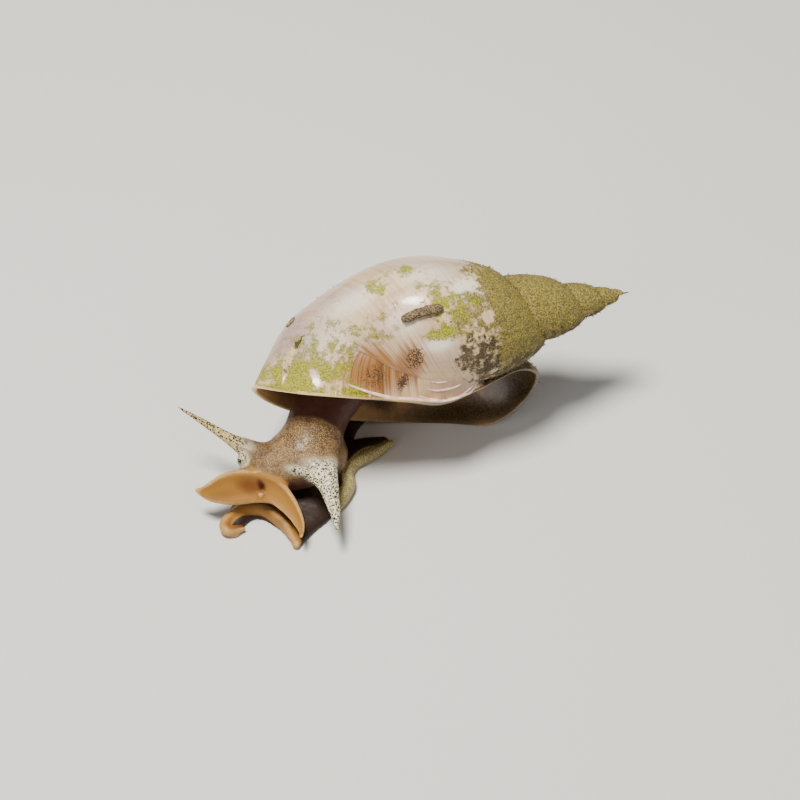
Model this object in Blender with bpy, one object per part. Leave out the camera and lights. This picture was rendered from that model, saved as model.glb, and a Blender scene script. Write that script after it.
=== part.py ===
# Great pond snail: shell resting on its outer lip, head, foot and tentacles stretched out in front
import math

import bmesh
import bpy
import numpy as np
from mathutils import Matrix, Vector

MM = 0.001

# Shell, in millimetres: along = distance back from the apex, out = away from the shell's axis on the
# outer lip's side, ahead = past the lip's own half-plane in the direction of growth
APEX = (41.3, 18.2, 18.0)
AXIS_TO_APEX = (0.969, 0.245, 0.024)
APERTURE_FACES = (0.224, -0.839, -0.497)
WHORL_GROWTH = 1.84
GIRTH_GROWTH = 1.92
WHORLS = 4.6
SLANT = 0.10
LIP_REACH = 0.10
WALL = 0.62
LIP_WALL = 0.52
COLUMELLA_REACH = 3.0
COLUMELLA_THICKER = 1.4
HOLLOW_TURNS = 0.30
SOLID_FROM = 0.45
SEAM_LIFT = 0.02
LIP_FADE_POWER = 1.5
WALL_RAMP_TURNS = 0.1
FLATTEST_CORNER = 0.2
DEEPEST_SHARE = 0.6
TUCK_STEPS = 0.5
TUCK_DEPTH = 0.4
TIP_BLUNTNESS = 0.35
LIP_CLEARANCE = 0.3
PILLAR_SIDES = 12
STEPS_PER_TURN = 18
POINTS_AROUND = 28
PILLAR = [(0.05, 0.12), (0.35, 0.30), (1.2, 0.42), (2.6, 0.50), (8.0, 0.65), (20.0, 0.95), (36.0, 1.35)]
LIP_OUTLINE = [
    (50.3, 1.5, 2.0), (47.5, -1.8, 3.6), (44.0, -3.2, 5.1), (38.0, -3.2, 6.8), (32.0, -2.4, 8.2),
    (27.0, -1.5, 9.3), (22.0, 0.3, 8.2), (16.0, 3.8, 6.3), (13.0, 6.8, 6.9), (14.6, 10.2, 9.3),
    (19.0, 13.4, 11.0), (25.5, 15.0, 9.4), (34.0, 15.0, 7.3), (42.0, 12.0, 5.6), (48.0, 7.0, 3.4)]
WHORL_OUTLINE = [
    (51.5, 1.4), (49.0, 0.5), (45.0, 0.4), (39.0, 0.5), (33.0, 0.6), (28.0, 0.7), (22.5, 1.2),
    (20.4, 3.8), (21.2, 6.6), (24.0, 9.0), (28.4, 10.8), (33.0, 11.8), (38.0, 11.7), (43.5, 9.9),
    (49.5, 6.5)]

# Flesh, in millimetres
GAP = 0.30
MANTLE_CLEARANCE = 0.25
CUT_REACH = 80
MANTLE_FROM = 0.26
MANTLE_TO = 0.07
END_TURNS = 0.04
HEAD_SIDE = Vector((0.943, -0.333, 0.0))
NAPE = Vector((0.9, 3.4, 7.6))
NAPE_FACING = Vector((-0.45, -0.78, -0.42)).normalized()
MOUTH = Vector((-6.1, -3.9, 4.4))
LOBE_FACING = Vector((-0.20, -0.76, 0.62))
UNDER_HEAD = 2.45
FRONT_CUT = (Vector((-3.4, -2.6, 0.9)), Vector((0.80, 0.60, 0.0)))
TAIL_CUT = (Vector((3.0, 8.6, 0.9)), Vector((-0.35, 0.94, 0.0)).normalized())
EYE_RADIUS = 0.42
EYE_LEFT = (-1.0, -2.75, 7.1)
EYE_RIGHT = (-8.9, -0.7, 6.8)


def clear_scene():
    """Remove everything from the opening scene"""
    for item in list(bpy.data.objects):
        bpy.data.objects.remove(item, do_unlink=True)
    for item in list(bpy.data.collections):
        bpy.data.collections.remove(item)


def new_collection(name, hidden=False):
    """Collection linked into the scene"""
    group = bpy.data.collections.new(name)
    bpy.context.scene.collection.children.link(group)
    group.hide_render = hidden
    return group


def new_material(name, colour, roughness):
    """Plain Principled material"""
    mat = bpy.data.materials.new(name)
    mat.use_nodes = True
    shader = mat.node_tree.nodes["Principled BSDF"]
    shader.inputs["Base Color"].default_value = (*colour, 1.0)
    shader.inputs["Roughness"].default_value = roughness
    mat.diffuse_color = (*colour, 1.0)
    return mat


def mesh_object(name, points, faces, group):
    """Object from points in millimetres, its normals turned outward"""
    mesh = bpy.data.meshes.new(name)
    mesh.from_pydata([tuple(c * MM for c in p) for p in points], [], faces)
    bm = bmesh.new()
    bm.from_mesh(mesh)
    bmesh.ops.triangulate(bm, faces=bm.faces[:])
    bmesh.ops.recalc_face_normals(bm, faces=bm.faces[:])
    bm.to_mesh(mesh)
    bm.free()
    obj = bpy.data.objects.new(name, mesh)
    group.objects.link(obj)
    return obj


def loft(name, rings, group):
    """Closed skin over rings of equal count, both ends fanned to their centres"""
    count = len(rings[0])
    points = [tuple(p) for ring in rings for p in ring]
    faces = []
    for row in range(len(rings) - 1):
        for i in range(count):
            j = (i + 1) % count
            low, high = row * count, (row + 1) * count
            faces.append((low + i, low + j, high + j, high + i))
    for row in (0, len(rings) - 1):
        points.append(tuple(np.mean(rings[row], axis=0)))
        hub = len(points) - 1
        faces += [(row * count + i, row * count + (i + 1) % count, hub) for i in range(count)]
    return mesh_object(name, points, faces, group)


def smooth_path(points, count):
    """Catmull-Rom curve through rows of numbers, ends kept"""
    p = np.array(points, float)
    p = np.vstack([2 * p[0] - p[1], p, 2 * p[-1] - p[-2]])
    t = np.linspace(0, len(p) - 3 - 1e-9, count)
    i = t.astype(int)
    f = (t - i)[:, None]
    a, b, c, d = p[i], p[i + 1], p[i + 2], p[i + 3]
    return 0.5 * (2 * b + (c - a) * f + (2 * a - 5 * b + 4 * c - d) * f ** 2
                  + (3 * b - a - 3 * c + d) * f ** 3)


def closed_path(points, count):
    """Closed Catmull-Rom curve through rows of numbers"""
    p = np.array(points, float)
    size = len(p)
    t = np.arange(count) * size / count
    i = t.astype(int)
    f = (t - i)[:, None]
    a, b, c, d = p[(i - 1) % size], p[i], p[(i + 1) % size], p[(i + 2) % size]
    return 0.5 * (2 * b + (c - a) * f + (2 * a - 5 * b + 4 * c - d) * f ** 2
                  + (3 * b - a - 3 * c + d) * f ** 3)


def tube(name, stations, group, count, around=16, grow=0.0, across=None):
    """Loft along a path; a station is x, y, z, half-width and half-height of its oval"""
    rows = smooth_path(stations, count)
    rows[0, :3] -= (rows[1, :3] - rows[0, :3]) / np.linalg.norm(rows[1, :3] - rows[0, :3]) * grow
    rows[-1, :3] += (rows[-1, :3] - rows[-2, :3]) / np.linalg.norm(rows[-1, :3] - rows[-2, :3]) * grow
    rows[:, 3:] += grow
    centres = rows[:, :3]
    along = np.gradient(centres, axis=0)
    rings = []
    for centre, step, (half_w, half_h) in zip(centres, along, rows[:, 3:]):
        ahead = Vector(step).normalized()
        side = across.normalized() if across else ahead.cross(Vector((0, 0, 1))).normalized()
        rise = side.cross(ahead).normalized()
        ring = []
        for k in range(around):
            angle = 2 * math.pi * k / around
            ring.append(Vector(centre) + side * (half_w * math.cos(angle))
                        + rise * (half_h * math.sin(angle)))
        rings.append(ring)
    return loft(name, rings, group)


def ball(name, centre, radii, group, turn=0.0, rings=10, grow=0.0):
    """Ellipsoid with its three half-lengths, turned about the upright"""
    bm = bmesh.new()
    bmesh.ops.create_uvsphere(bm, u_segments=2 * rings, v_segments=rings, radius=1.0)
    place = Matrix.Translation(Vector(centre)) @ Matrix.Rotation(math.radians(turn), 4, "Z")
    bm.transform(place @ Matrix.Diagonal((*(r + grow for r in radii), 1.0)))
    points = [tuple(v.co) for v in bm.verts]
    faces = [tuple(v.index for v in f.verts) for f in bm.faces]
    bm.free()
    return mesh_object(name, points, faces, group)


def block(name, centre, facing, sizes, group):
    """Box whose sizes run along facing, then sideways, then upward"""
    ahead = Vector(facing).normalized()
    side = ahead.cross(Vector((0, 0, 1) if abs(ahead.z) < 0.9 else (0, 1, 0))).normalized()
    turn = Matrix((ahead, side, side.cross(ahead))).transposed().to_4x4()
    bm = bmesh.new()
    bmesh.ops.create_cube(bm, size=1.0)
    bm.transform(Matrix.Translation(Vector(centre)) @ turn @ Matrix.Diagonal((*sizes, 1.0)))
    points = [tuple(v.co) for v in bm.verts]
    faces = [tuple(v.index for v in f.verts) for f in bm.faces]
    bm.free()
    return mesh_object(name, points, faces, group)


def combine(obj, group, operation, solver="EXACT"):
    """One Boolean of the object with every object of a collection, which is then emptied"""
    cut = obj.modifiers.new("combine", "BOOLEAN")
    cut.operation = operation
    cut.solver = solver
    cut.operand_type = "COLLECTION"
    cut.collection = group
    for item in group.objects:
        item.display_type = "WIRE"
        item.hide_render = True
    bpy.context.view_layer.update()
    shaped = bpy.data.meshes.new_from_object(obj.evaluated_get(bpy.context.evaluated_depsgraph_get()))
    obj.modifiers.clear()
    obj.data = shaped
    for item in list(group.objects):
        bpy.data.objects.remove(item, do_unlink=True)
    bpy.data.collections.remove(group)


def loose_pieces(obj):
    """Closed surfaces of a mesh as (volume in cubic mm, centre in mm, bmesh face lists)"""
    bm = bmesh.new()
    bm.from_mesh(obj.data)
    bmesh.ops.triangulate(bm, faces=bm.faces[:])
    bm.faces.ensure_lookup_table()
    bm.verts.ensure_lookup_table()
    seen = set()
    pieces = []
    for start in bm.faces:
        if start.index in seen:
            continue
        stack, found = [start], []
        seen.add(start.index)
        while stack:
            face = stack.pop()
            found.append(face)
            for edge in face.edges:
                for other in edge.link_faces:
                    if other.index not in seen:
                        seen.add(other.index)
                        stack.append(other)
        volume = 0.0
        middle = Vector((0, 0, 0))
        for face in found:
            a, b, c = (v.co for v in face.verts)
            part = a.dot(b.cross(c)) / 6
            volume += part
            middle += (a + b + c) / 4 * part
        if abs(volume) > 1e-15:
            middle = middle / volume
        points = {}
        faces = []
        for face in found:
            faces.append([points.setdefault(v.index, len(points)) for v in face.verts])
        coords = [None] * len(points)
        for index, slot in points.items():
            coords[slot] = tuple(bm.verts[index].co)
        pieces.append((volume / MM ** 3, middle / MM, coords, faces))
    bm.free()
    return sorted(pieces, key=lambda piece: -piece[0])


def set_piece(obj, piece):
    """Give an object one closed surface as its whole mesh"""
    mesh = bpy.data.meshes.new(obj.name)
    mesh.from_pydata(piece[2], [], piece[3])
    obj.data = mesh


def finish_node(obj, mat):
    """Clean, smooth and colour a node"""
    bm = bmesh.new()
    bm.from_mesh(obj.data)
    bmesh.ops.triangulate(bm, faces=bm.faces[:])
    bmesh.ops.recalc_face_normals(bm, faces=bm.faces[:])
    bm.to_mesh(obj.data)
    bm.free()
    obj.data.materials.clear()
    obj.data.materials.append(mat)
    obj.data.shade_smooth()


def shell_ring(turns, grow=0.0, count=POINTS_AROUND):
    """Outline of the shell's tube, turns back from the lip, moved outward by grow mm"""
    lip = closed_path(LIP_OUTLINE, count)
    whorl = closed_path([(u, q, SLANT * (50 - u)) for u, q in WHORL_OUTLINE], count)
    lip_share = math.exp(-(max(turns, 0.0) / LIP_REACH) ** LIP_FADE_POWER)
    ring = whorl + (lip - whorl) * lip_share
    step = np.roll(ring, -1, axis=0) - np.roll(ring, 1, axis=0)
    normal = np.stack([-step[:, 1], step[:, 0]], axis=1)
    normal /= np.linalg.norm(normal, axis=1, keepdims=True)
    if np.sum(normal[:, 0] * (ring[:, 0] - ring[:, 0].mean())) < 0:
        normal = -normal
    along = ring[:, 0] * WHORL_GROWTH ** -turns
    out = ring[:, 1] * GIRTH_GROWTH ** -turns
    ahead = ring[:, 2] * WHORL_GROWTH ** -turns
    if grow < 0:
        inward = np.stack([along.mean() - along, out.mean() - out], axis=1)
        reach = np.linalg.norm(inward, axis=1)
        inward /= reach[:, None]
        square = np.maximum(-np.sum(inward * normal, axis=1), FLATTEST_CORNER)
        pillar_side = np.clip((COLUMELLA_REACH - ring[:, 1]) / COLUMELLA_REACH, 0, 1)
        thicker = 1 + COLUMELLA_THICKER * pillar_side
        depth = np.minimum(-grow * thicker / square, reach * DEEPEST_SHARE)
        along += inward[:, 0] * depth
        out += inward[:, 1] * depth
    else:
        along += normal[:, 0] * grow
        out += normal[:, 1] * grow
    apex, axis = np.array(APEX), np.array(Vector(AXIS_TO_APEX).normalized())
    faces = np.array(APERTURE_FACES)
    faces -= axis * faces.dot(axis)
    faces /= np.linalg.norm(faces)
    outer = np.cross(axis, faces)
    angle = 2 * math.pi * turns
    out_way = math.cos(angle) * outer + math.sin(angle) * np.cross(axis, outer)
    ahead_way = math.cos(angle) * faces + math.sin(angle) * np.cross(axis, faces)
    return (apex - along[:, None] * axis + out[:, None] * out_way + ahead[:, None] * ahead_way)


def turn_steps(first, last):
    """Turns from one value to another at the shell's even steps"""
    count = max(2, round(abs(last - first) * STEPS_PER_TURN) + 1)
    return np.linspace(first, last, count)


def shell_solids(group, grow=0.0):
    """Hollow last stretch of the shell and solid lengths of tube back to the apex"""
    outside = [shell_ring(t, grow) for t in turn_steps(SOLID_FROM, 0.0)]
    inside = []
    for t in turn_steps(0.0, HOLLOW_TURNS):
        wall = LIP_WALL + (WALL - LIP_WALL) * min(1.0, t / WALL_RAMP_TURNS)
        inside.append(shell_ring(t, -wall - grow))
    if grow:
        past_lip = (outside[-1] - outside[-2]) * LIP_CLEARANCE
        inside[0] = inside[0] + past_lip
        outside.append(outside[-1] + past_lip)
    last_stretch = loft("shell", outside + inside, group)
    end = SOLID_FROM
    number = 0
    while end < WHORLS - 0.01:
        far = min(end + SOLID_FROM, WHORLS)
        seam = grow + SEAM_LIFT * (1 - number % 2)
        tucked = grow - TUCK_DEPTH * WHORL_GROWTH ** -end
        rings = [shell_ring(end - TUCK_STEPS / STEPS_PER_TURN, tucked)]
        rings += [shell_ring(t, seam) for t in turn_steps(end, far)]
        if far >= WHORLS - 0.01:
            rings.append(rings[-1] * TIP_BLUNTNESS + np.array(APEX) * (1 - TIP_BLUNTNESS))
        loft(f"whorl{number}", rings, group)
        end = far
        number += 1
    pillar = []
    axis = np.array(Vector(AXIS_TO_APEX).normalized())
    faces = np.cross(np.cross(axis, APERTURE_FACES), axis)
    faces /= np.linalg.norm(faces)
    side = np.cross(axis, faces)
    for along, radius in PILLAR:
        radius += grow
        ring = [np.array(APEX) - axis * along + radius * (math.cos(a) * faces + math.sin(a) * side)
                for a in np.linspace(0, 2 * math.pi, PILLAR_SIDES, endpoint=False)]
        pillar.append(ring)
    loft("pillar", pillar, group)
    return last_stretch


def shell_object(name, model, grow=0.0):
    """Whole shell as one closed solid"""
    work = new_collection(name + "_work")
    body = shell_solids(work, grow)
    work.objects.unlink(body)
    model.objects.link(body)
    body.name = name
    # Windings that wrap over each other leave open edges under the exact solver
    combine(body, work, "UNION", "MANIFOLD")
    set_piece(body, loose_pieces(body)[0])
    return body


def neck_and_head(group, grow):
    """Neck, head and throat as one run from inside the aperture to the mouth"""
    tube("run", [(4.6, 10.4, 11.3, 4.6, 4.0), (2.6, 7.8, 9.8, 4.3, 4.0),
                 (1.1, 5.4, 8.3, 3.9, 3.7), (0.2, 3.1, 6.9, 4.1, 3.6),
                 (-1.2, 0.6, 5.8, 5.0, 3.5), (-3.2, -1.3, 5.1, 4.6, 2.9),
                 (-4.8, -2.2, 4.9, 3.6, 2.2)], group, 18, 20, grow, HEAD_SIDE)
    ball("throat", (-6.0, -2.3, 5.0), (3.6, 1.2, 1.9), group, -19, 10, grow)
    ball("stalk", (1.0, 3.8, 3.6), (3.5, 4.4, 3.4), group, 38, 10, grow)
    ball("tubercle_left", (-1.4, -2.0, 6.7), (1.5, 0.9, 0.9), group, -15, 8, grow)
    ball("tubercle_right", (-8.2, -0.2, 6.3), (1.2, 1.0, 0.9), group, 20, 8, grow)


def lobes(group, grow):
    """Crescent of the oral veil, from its right tip past the mouth to its left tip"""
    tube("lobes", [(-14.4, -3.8, 4.7, 0.3, 0.35), (-13.3, -4.2, 4.8, 0.55, 1.0),
                   (-12.2, -4.2, 4.9, 0.7, 1.6), (-10.7, -3.9, 5.0, 0.75, 2.2),
                   (-8.8, -3.6, 5.1, 0.8, 2.4), (-6.6, -3.6, 5.1, 0.8, 2.2),
                   (-4.5, -4.1, 4.9, 0.8, 1.85), (-3.1, -5.2, 4.4, 0.8, 1.5),
                   (-2.0, -6.6, 3.9, 0.75, 1.15), (-1.25, -8.0, 3.5, 0.65, 0.85),
                   (-0.95, -9.2, 3.2, 0.5, 0.55), (-0.95, -9.9, 3.0, 0.35, 0.35)],
         group, 32, 14, grow, LOBE_FACING)


def tentacle_right(group, grow):
    """Tentacle on the animal's right, stretched out sideways and up"""
    tube("tentacle_right", [(-5.4, 0.0, 6.2, 2.0, 1.5), (-7.9, 1.2, 6.8, 1.5, 1.2),
                            (-10.4, 2.2, 7.8, 0.85, 0.8), (-13.6, 3.6, 9.3, 0.55, 0.5),
                            (-16.7, 4.65, 11.0, 0.25, 0.25)], group, 14, 12, grow)


def tentacle_left(group, grow):
    """Broad-based tentacle on the animal's left, hanging forward"""
    tube("tentacle_left", [(0.6, -0.6, 6.6, 2.7, 1.6), (1.6, -2.5, 6.9, 2.1, 1.3),
                           (2.45, -4.4, 6.4, 1.45, 1.0), (2.9, -6.1, 5.9, 1.1, 0.8),
                           (3.3, -7.7, 5.3, 0.8, 0.6), (3.5, -9.2, 4.8, 0.5, 0.42),
                           (3.6, -10.3, 4.4, 0.25, 0.25)], group, 18, 12, grow)


def foot(group, grow):
    """Creeping foot: front with its thick rim, left flank with a ruffled margin, and rear that
    runs back under the raised part of the lip and tapers beneath the shell"""
    tube("flank", [(-7.0, -2.0, 0.2, 2.8, 1.4), (-4.2, -1.5, 0.2, 3.8, 1.8),
                   (-1.0, -0.8, 0.2, 4.4, 1.9), (2.0, 1.8, 0.2, 3.2, 1.9),
                   (4.2, 4.6, 0.2, 2.4, 1.9), (6.6, 6.2, 0.2, 1.8, 1.8),
                   (9.2, 7.4, 0.2, 1.0, 1.2)], group, 18, 18, grow)
    tube("margin", [(3.3, -4.2, 0.8, 0.5, 0.7), (4.2, -2.2, 1.0, 0.85, 1.05),
                    (5.0, -0.2, 0.9, 0.85, 1.1), (4.8, 1.6, 1.0, 0.85, 1.05),
                    (5.4, 3.2, 0.9, 0.6, 1.1), (6.9, 4.5, 1.0, 0.9, 1.05),
                    (8.7, 5.5, 0.9, 0.65, 1.1), (10.3, 6.9, 0.9, 0.5, 0.8)], group, 26, 12, grow)
    tube("rear", [(-1.0, -0.8, 0.2, 4.2, 1.8), (0.6, 2.6, 0.2, 4.4, 1.9),
                  (1.2, 6.0, 0.2, 4.2, 1.9), (1.8, 9.4, 0.2, 3.9, 1.9),
                  (3.6, 12.6, 0.2, 3.6, 1.9), (7.0, 15.2, 0.2, 3.2, 1.8),
                  (11.2, 16.6, 0.2, 2.7, 1.6), (15.6, 17.2, 0.2, 2.0, 1.3),
                  (18.8, 17.3, 0.2, 0.9, 0.8)], group, 26, 18, grow)
    tube("corner_left", [(-1.7, -9.3, 0.4, 0.6, 0.6), (-0.8, -6.4, 0.3, 1.7, 1.2),
                         (0.6, -3.2, 0.2, 2.8, 1.6), (1.8, 0.4, 0.2, 3.2, 1.8)], group, 12, 14, grow)
    tube("corner_right", [(-9.8, -7.3, 0.4, 0.9, 0.7), (-9.0, -4.2, 0.3, 1.6, 1.1),
                          (-6.6, -1.6, 0.2, 2.4, 1.5)], group, 10, 14, grow)
    tube("front_sheet", [(-9.2, -5.6, 0.1, 0.9, 0.8), (-7.4, -3.8, 0.1, 1.3, 0.9),
                         (-5.2, -3.8, 0.1, 1.7, 1.0), (-3.4, -4.8, 0.1, 1.9, 1.0),
                         (-2.2, -6.6, 0.1, 1.4, 0.9), (-1.7, -8.6, 0.1, 0.6, 0.7)], group, 16, 12, grow)
    tube("foot_rim", [(-8.4, -6.9, 0.7, 0.5, 0.5), (-10.3, -7.5, 0.8, 0.7, 0.7),
                      (-10.9, -6.3, 0.9, 0.75, 0.8), (-9.4, -4.5, 1.1, 0.75, 0.85),
                      (-7.4, -3.9, 1.2, 0.75, 0.85), (-5.3, -4.4, 1.2, 0.75, 0.85),
                      (-3.2, -6.6, 1.0, 0.75, 0.8), (-1.6, -9.4, 0.8, 0.5, 0.5)],
         group, 26, 12, grow)


def mantle(group, grow):
    """Plug of mantle that fills the shell behind its aperture"""
    ends = (MANTLE_FROM + grow * END_TURNS, MANTLE_TO - grow * END_TURNS)
    loft("mantle", [shell_ring(t, grow - WALL - GAP - MANTLE_CLEARANCE) for t in turn_steps(*ends)], group)


def eyes(group, grow):
    """Two small round eyes on the tubercles at the tentacles' inner bases"""
    for name, centre in (("eye_left", EYE_LEFT), ("eye_right", EYE_RIGHT)):
        ball(name, centre, (EYE_RADIUS,) * 3, group, 0, 8, grow)


def half_space(point, facing, group):
    """Large box that begins at a point and lies on its facing side"""
    ahead = Vector(facing).normalized()
    middle = Vector(point) + ahead * CUT_REACH / 2
    block("half", middle, ahead, (CUT_REACH, 2 * CUT_REACH, 2 * CUT_REACH), group)


def make_node(name, model, mat, shape, away=(), beyond=()):
    """Union of one shape's solids, less neighbours grown by the gap and less half-spaces"""
    work = new_collection(name + "_work")
    shape(work, 0.0)
    first = work.objects[0]
    work.objects.unlink(first)
    model.objects.link(first)
    first.name = name
    if work.objects:
        combine(first, work, "UNION")
    cuts = new_collection(name + "_cuts", True)
    for other in away:
        other(cuts, GAP)
    for point, facing in beyond:
        half_space(point, facing, cuts)
    if cuts.objects:
        combine(first, cuts, "DIFFERENCE")
    set_piece(first, loose_pieces(first)[0])
    finish_node(first, mat)
    return first


def main():
    """Build every node of the model"""
    clear_scene()
    model = new_collection("great_pond_snail")
    mats = {
        "shell": new_material("shell", (0.72, 0.62, 0.50), 0.35),
        "skin": new_material("skin", (0.42, 0.34, 0.22), 0.45),
        "sole": new_material("sole", (0.70, 0.48, 0.20), 0.40),
        "eye": new_material("eye", (0.02, 0.02, 0.02), 0.15)}

    shell = shell_object("shell", model)
    floor = new_collection("floor_cut", True)
    half_space((0, 0, 0), (0, 0, -1), floor)
    combine(shell, floor, "DIFFERENCE")
    set_piece(shell, loose_pieces(shell)[0])
    finish_node(shell, mats["shell"])

    def shell_space(group, grow):
        """Shell grown by the gap"""
        space = shell_object("shell_space", model, grow)
        model.objects.unlink(space)
        group.objects.link(space)

    skin, sole = mats["skin"], mats["sole"]
    ground = ((0, 0, 0), (0, 0, -1))
    low = ((0, 0, UNDER_HEAD), (0, 0, -1))
    high = ((0, 0, UNDER_HEAD - GAP), (0, 0, 1))
    nape_front = (NAPE, NAPE_FACING)
    nape_back = (NAPE + NAPE_FACING * GAP, -NAPE_FACING)
    mouth_left = (MOUTH + HEAD_SIDE * (GAP / 2), -HEAD_SIDE)
    mouth_right = (MOUTH - HEAD_SIDE * (GAP / 2), HEAD_SIDE)
    make_node("mantle", model, skin, mantle, [shell_space])
    make_node("neck", model, skin, neck_and_head, [shell_space, mantle], [nape_front, low])
    make_node("head", model, skin, neck_and_head, [shell_space, eyes], [nape_back, low])
    make_node("lobe_right", model, sole, lobes, [neck_and_head], [mouth_right, low])
    make_node("lobe_left", model, sole, lobes, [neck_and_head], [mouth_left, low])
    make_node("tentacle_right", model, skin, tentacle_right, [neck_and_head, eyes])
    make_node("tentacle_left", model, skin, tentacle_left, [neck_and_head, lobes, eyes])
    for name, centre in (("eye_left", EYE_LEFT), ("eye_right", EYE_RIGHT)):
        eye = ball(name, centre, (EYE_RADIUS,) * 3, model, 0, 8)
        finish_node(eye, mats["eye"])
    middle_start = (FRONT_CUT[0] + FRONT_CUT[1] * GAP, -FRONT_CUT[1])
    tail_start = (TAIL_CUT[0] + TAIL_CUT[1] * GAP, -TAIL_CUT[1])
    make_node("foot_front", model, sole, foot, [], [ground, high, FRONT_CUT])
    make_node("foot_middle", model, sole, foot, [shell_space], [ground, high, middle_start, TAIL_CUT])
    make_node("foot_tail", model, sole, foot, [shell_space], [ground, high, tail_start])

    holder = bpy.data.objects.new("great_pond_snail", None)
    model.objects.link(holder)
    for node in list(model.objects):
        if node is not holder:
            node.parent = holder


main()
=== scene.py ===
import math

import bpy
import numpy as np
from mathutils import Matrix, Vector
from mathutils.bvhtree import BVHTree


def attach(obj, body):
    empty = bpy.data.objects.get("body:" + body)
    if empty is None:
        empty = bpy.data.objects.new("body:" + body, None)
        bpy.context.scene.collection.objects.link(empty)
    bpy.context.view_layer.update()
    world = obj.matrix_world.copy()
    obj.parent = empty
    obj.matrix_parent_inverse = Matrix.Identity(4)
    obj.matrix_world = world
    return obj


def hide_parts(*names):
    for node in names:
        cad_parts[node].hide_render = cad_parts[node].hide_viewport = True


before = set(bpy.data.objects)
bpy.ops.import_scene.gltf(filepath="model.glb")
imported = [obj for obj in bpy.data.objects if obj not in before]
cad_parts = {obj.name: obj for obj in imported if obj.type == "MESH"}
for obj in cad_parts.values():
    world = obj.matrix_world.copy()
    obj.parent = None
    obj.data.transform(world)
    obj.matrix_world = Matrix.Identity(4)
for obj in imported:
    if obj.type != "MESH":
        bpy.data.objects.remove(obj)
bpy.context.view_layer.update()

mm = 0.001  # shapes below are worked out in millimetres and put into the meshes in metres

view = {
    "target": (0.0115, 0.0067, 0.010), "distance": 0.285, "elevation": 50.0,
    "lens": 100.0, "sensor": 36.0, "imageSide": 800.0}
elevation = math.radians(view["elevation"])
eyeWay = (0, -math.cos(elevation), math.sin(elevation))
upWay = (0, math.sin(elevation), math.cos(elevation))
focalLength = view["imageSide"] * view["lens"] / view["sensor"]  # in the picture's pixels
halfImage = view["imageSide"] / 2

shellForm = {
    "apex": (41.3, 18.2, 18.0), "axis": (0.969, 0.245, 0.024), "apertureFaces": (0.224, -0.839, -0.497),
    "whorlGrowth": 1.84, "girthGrowth": 1.92, "whorls": 4.6, "length": 50, "slant": 0.10,
    "lipReach": 0.10, "lipFadePower": 1.5, "wall": 0.62, "lipWall": 0.52, "wallRampTurns": 0.1,
    "columellaReach": 3.0, "columellaThicker": 1.4, "flattestCorner": 0.2, "deepestShare": 0.6,
    "hollowTurns": 0.30, "around": 220, "lastTurnSteps": 150, "spireSteps": 64, "floorEase": 0.4,
    "pillar": [(8.0, 0.65), (14.0, 0.8), (20.0, 0.95), (28.0, 1.15), (36.0, 1.35)],
    "lip": [
        (50.3, 1.5, 2.0), (47.5, -1.8, 3.6), (44.0, -3.2, 5.1), (38.0, -3.2, 6.8), (32.0, -2.4, 8.2),
        (27.0, -1.5, 9.3), (22.0, 0.3, 8.2), (16.0, 3.8, 6.3), (13.0, 6.8, 6.9), (14.6, 10.2, 9.3),
        (19.0, 13.4, 11.0), (25.5, 15.0, 9.4), (34.0, 15.0, 7.3), (42.0, 12.0, 5.6), (48.0, 7.0, 3.4)],
    "whorl": [
        (51.5, 1.4), (49.0, 0.5), (45.0, 0.4), (39.0, 0.5), (33.0, 0.6), (28.0, 0.7), (22.5, 1.2),
        (20.4, 3.8), (21.2, 6.6), (24.0, 9.0), (28.4, 10.8), (33.0, 11.8), (38.0, 11.7), (43.5, 9.9),
        (49.5, 6.5)]}


# Vector of length one along a given one
def unit(vector):
    vector = np.array(vector, float)
    return vector / np.linalg.norm(vector)


# Rows of vectors, each cut or drawn out to length one
def unitRows(rows):
    return rows / np.linalg.norm(rows, axis=1, keepdims=True)


# Catmull-Rom blend between the middle two of four rows
def catmullRom(a, b, c, d, f):
    return 0.5 * (2 * b + (c - a) * f + (2 * a - 5 * b + 4 * c - d) * f ** 2
                  + (3 * b - a - 3 * c + d) * f ** 3)


# Catmull-Rom curve through rows of numbers, its ends kept
def smoothPath(points, count):
    p = np.array(points, float)
    p = np.vstack([2 * p[0] - p[1], p, 2 * p[-1] - p[-2]])
    t = np.linspace(0, len(p) - 3 - 1e-9, count)
    i = t.astype(int)
    return catmullRom(p[i], p[i + 1], p[i + 2], p[i + 3], (t - i)[:, None])


# Closed Catmull-Rom curve through rows of numbers
def closedPath(points, count):
    p = np.array(points, float)
    size = len(p)
    t = np.arange(count) * size / count
    i = t.astype(int)
    return catmullRom(p[(i - 1) % size], p[i], p[(i + 1) % size], p[(i + 2) % size], (t - i)[:, None])


# Smooth noise between -1 and 1: random values on a wrapped lattice, blended by an eased cube
def latticeNoise(points, size, seed, side=24):
    values = np.random.default_rng(seed).uniform(-1, 1, (side, side, side))
    p = np.asarray(points, float) / size
    cell = np.floor(p).astype(int)
    f = p - cell
    f = f * f * (3 - 2 * f)
    total = np.zeros(len(p))
    for dx in (0, 1):
        for dy in (0, 1):
            for dz in (0, 1):
                weight = (np.where(dx, f[:, 0], 1 - f[:, 0]) * np.where(dy, f[:, 1], 1 - f[:, 1])
                          * np.where(dz, f[:, 2], 1 - f[:, 2]))
                total += weight * values[(cell[:, 0] + dx) % side, (cell[:, 1] + dy) % side,
                                         (cell[:, 2] + dz) % side]
    return total


# Where points in millimetres fall in the picture's frame, and the way from them to the eye
def pictureOf(points):
    back = np.array(eyeWay)
    rel = np.asarray(points) - np.array(view["target"]) / mm
    depth = view["distance"] / mm - rel @ back
    x = halfImage + focalLength * rel[:, 0] / depth
    y = halfImage - focalLength * (rel @ np.array(upWay)) / depth
    return np.stack([x, y], axis=1), back


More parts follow.
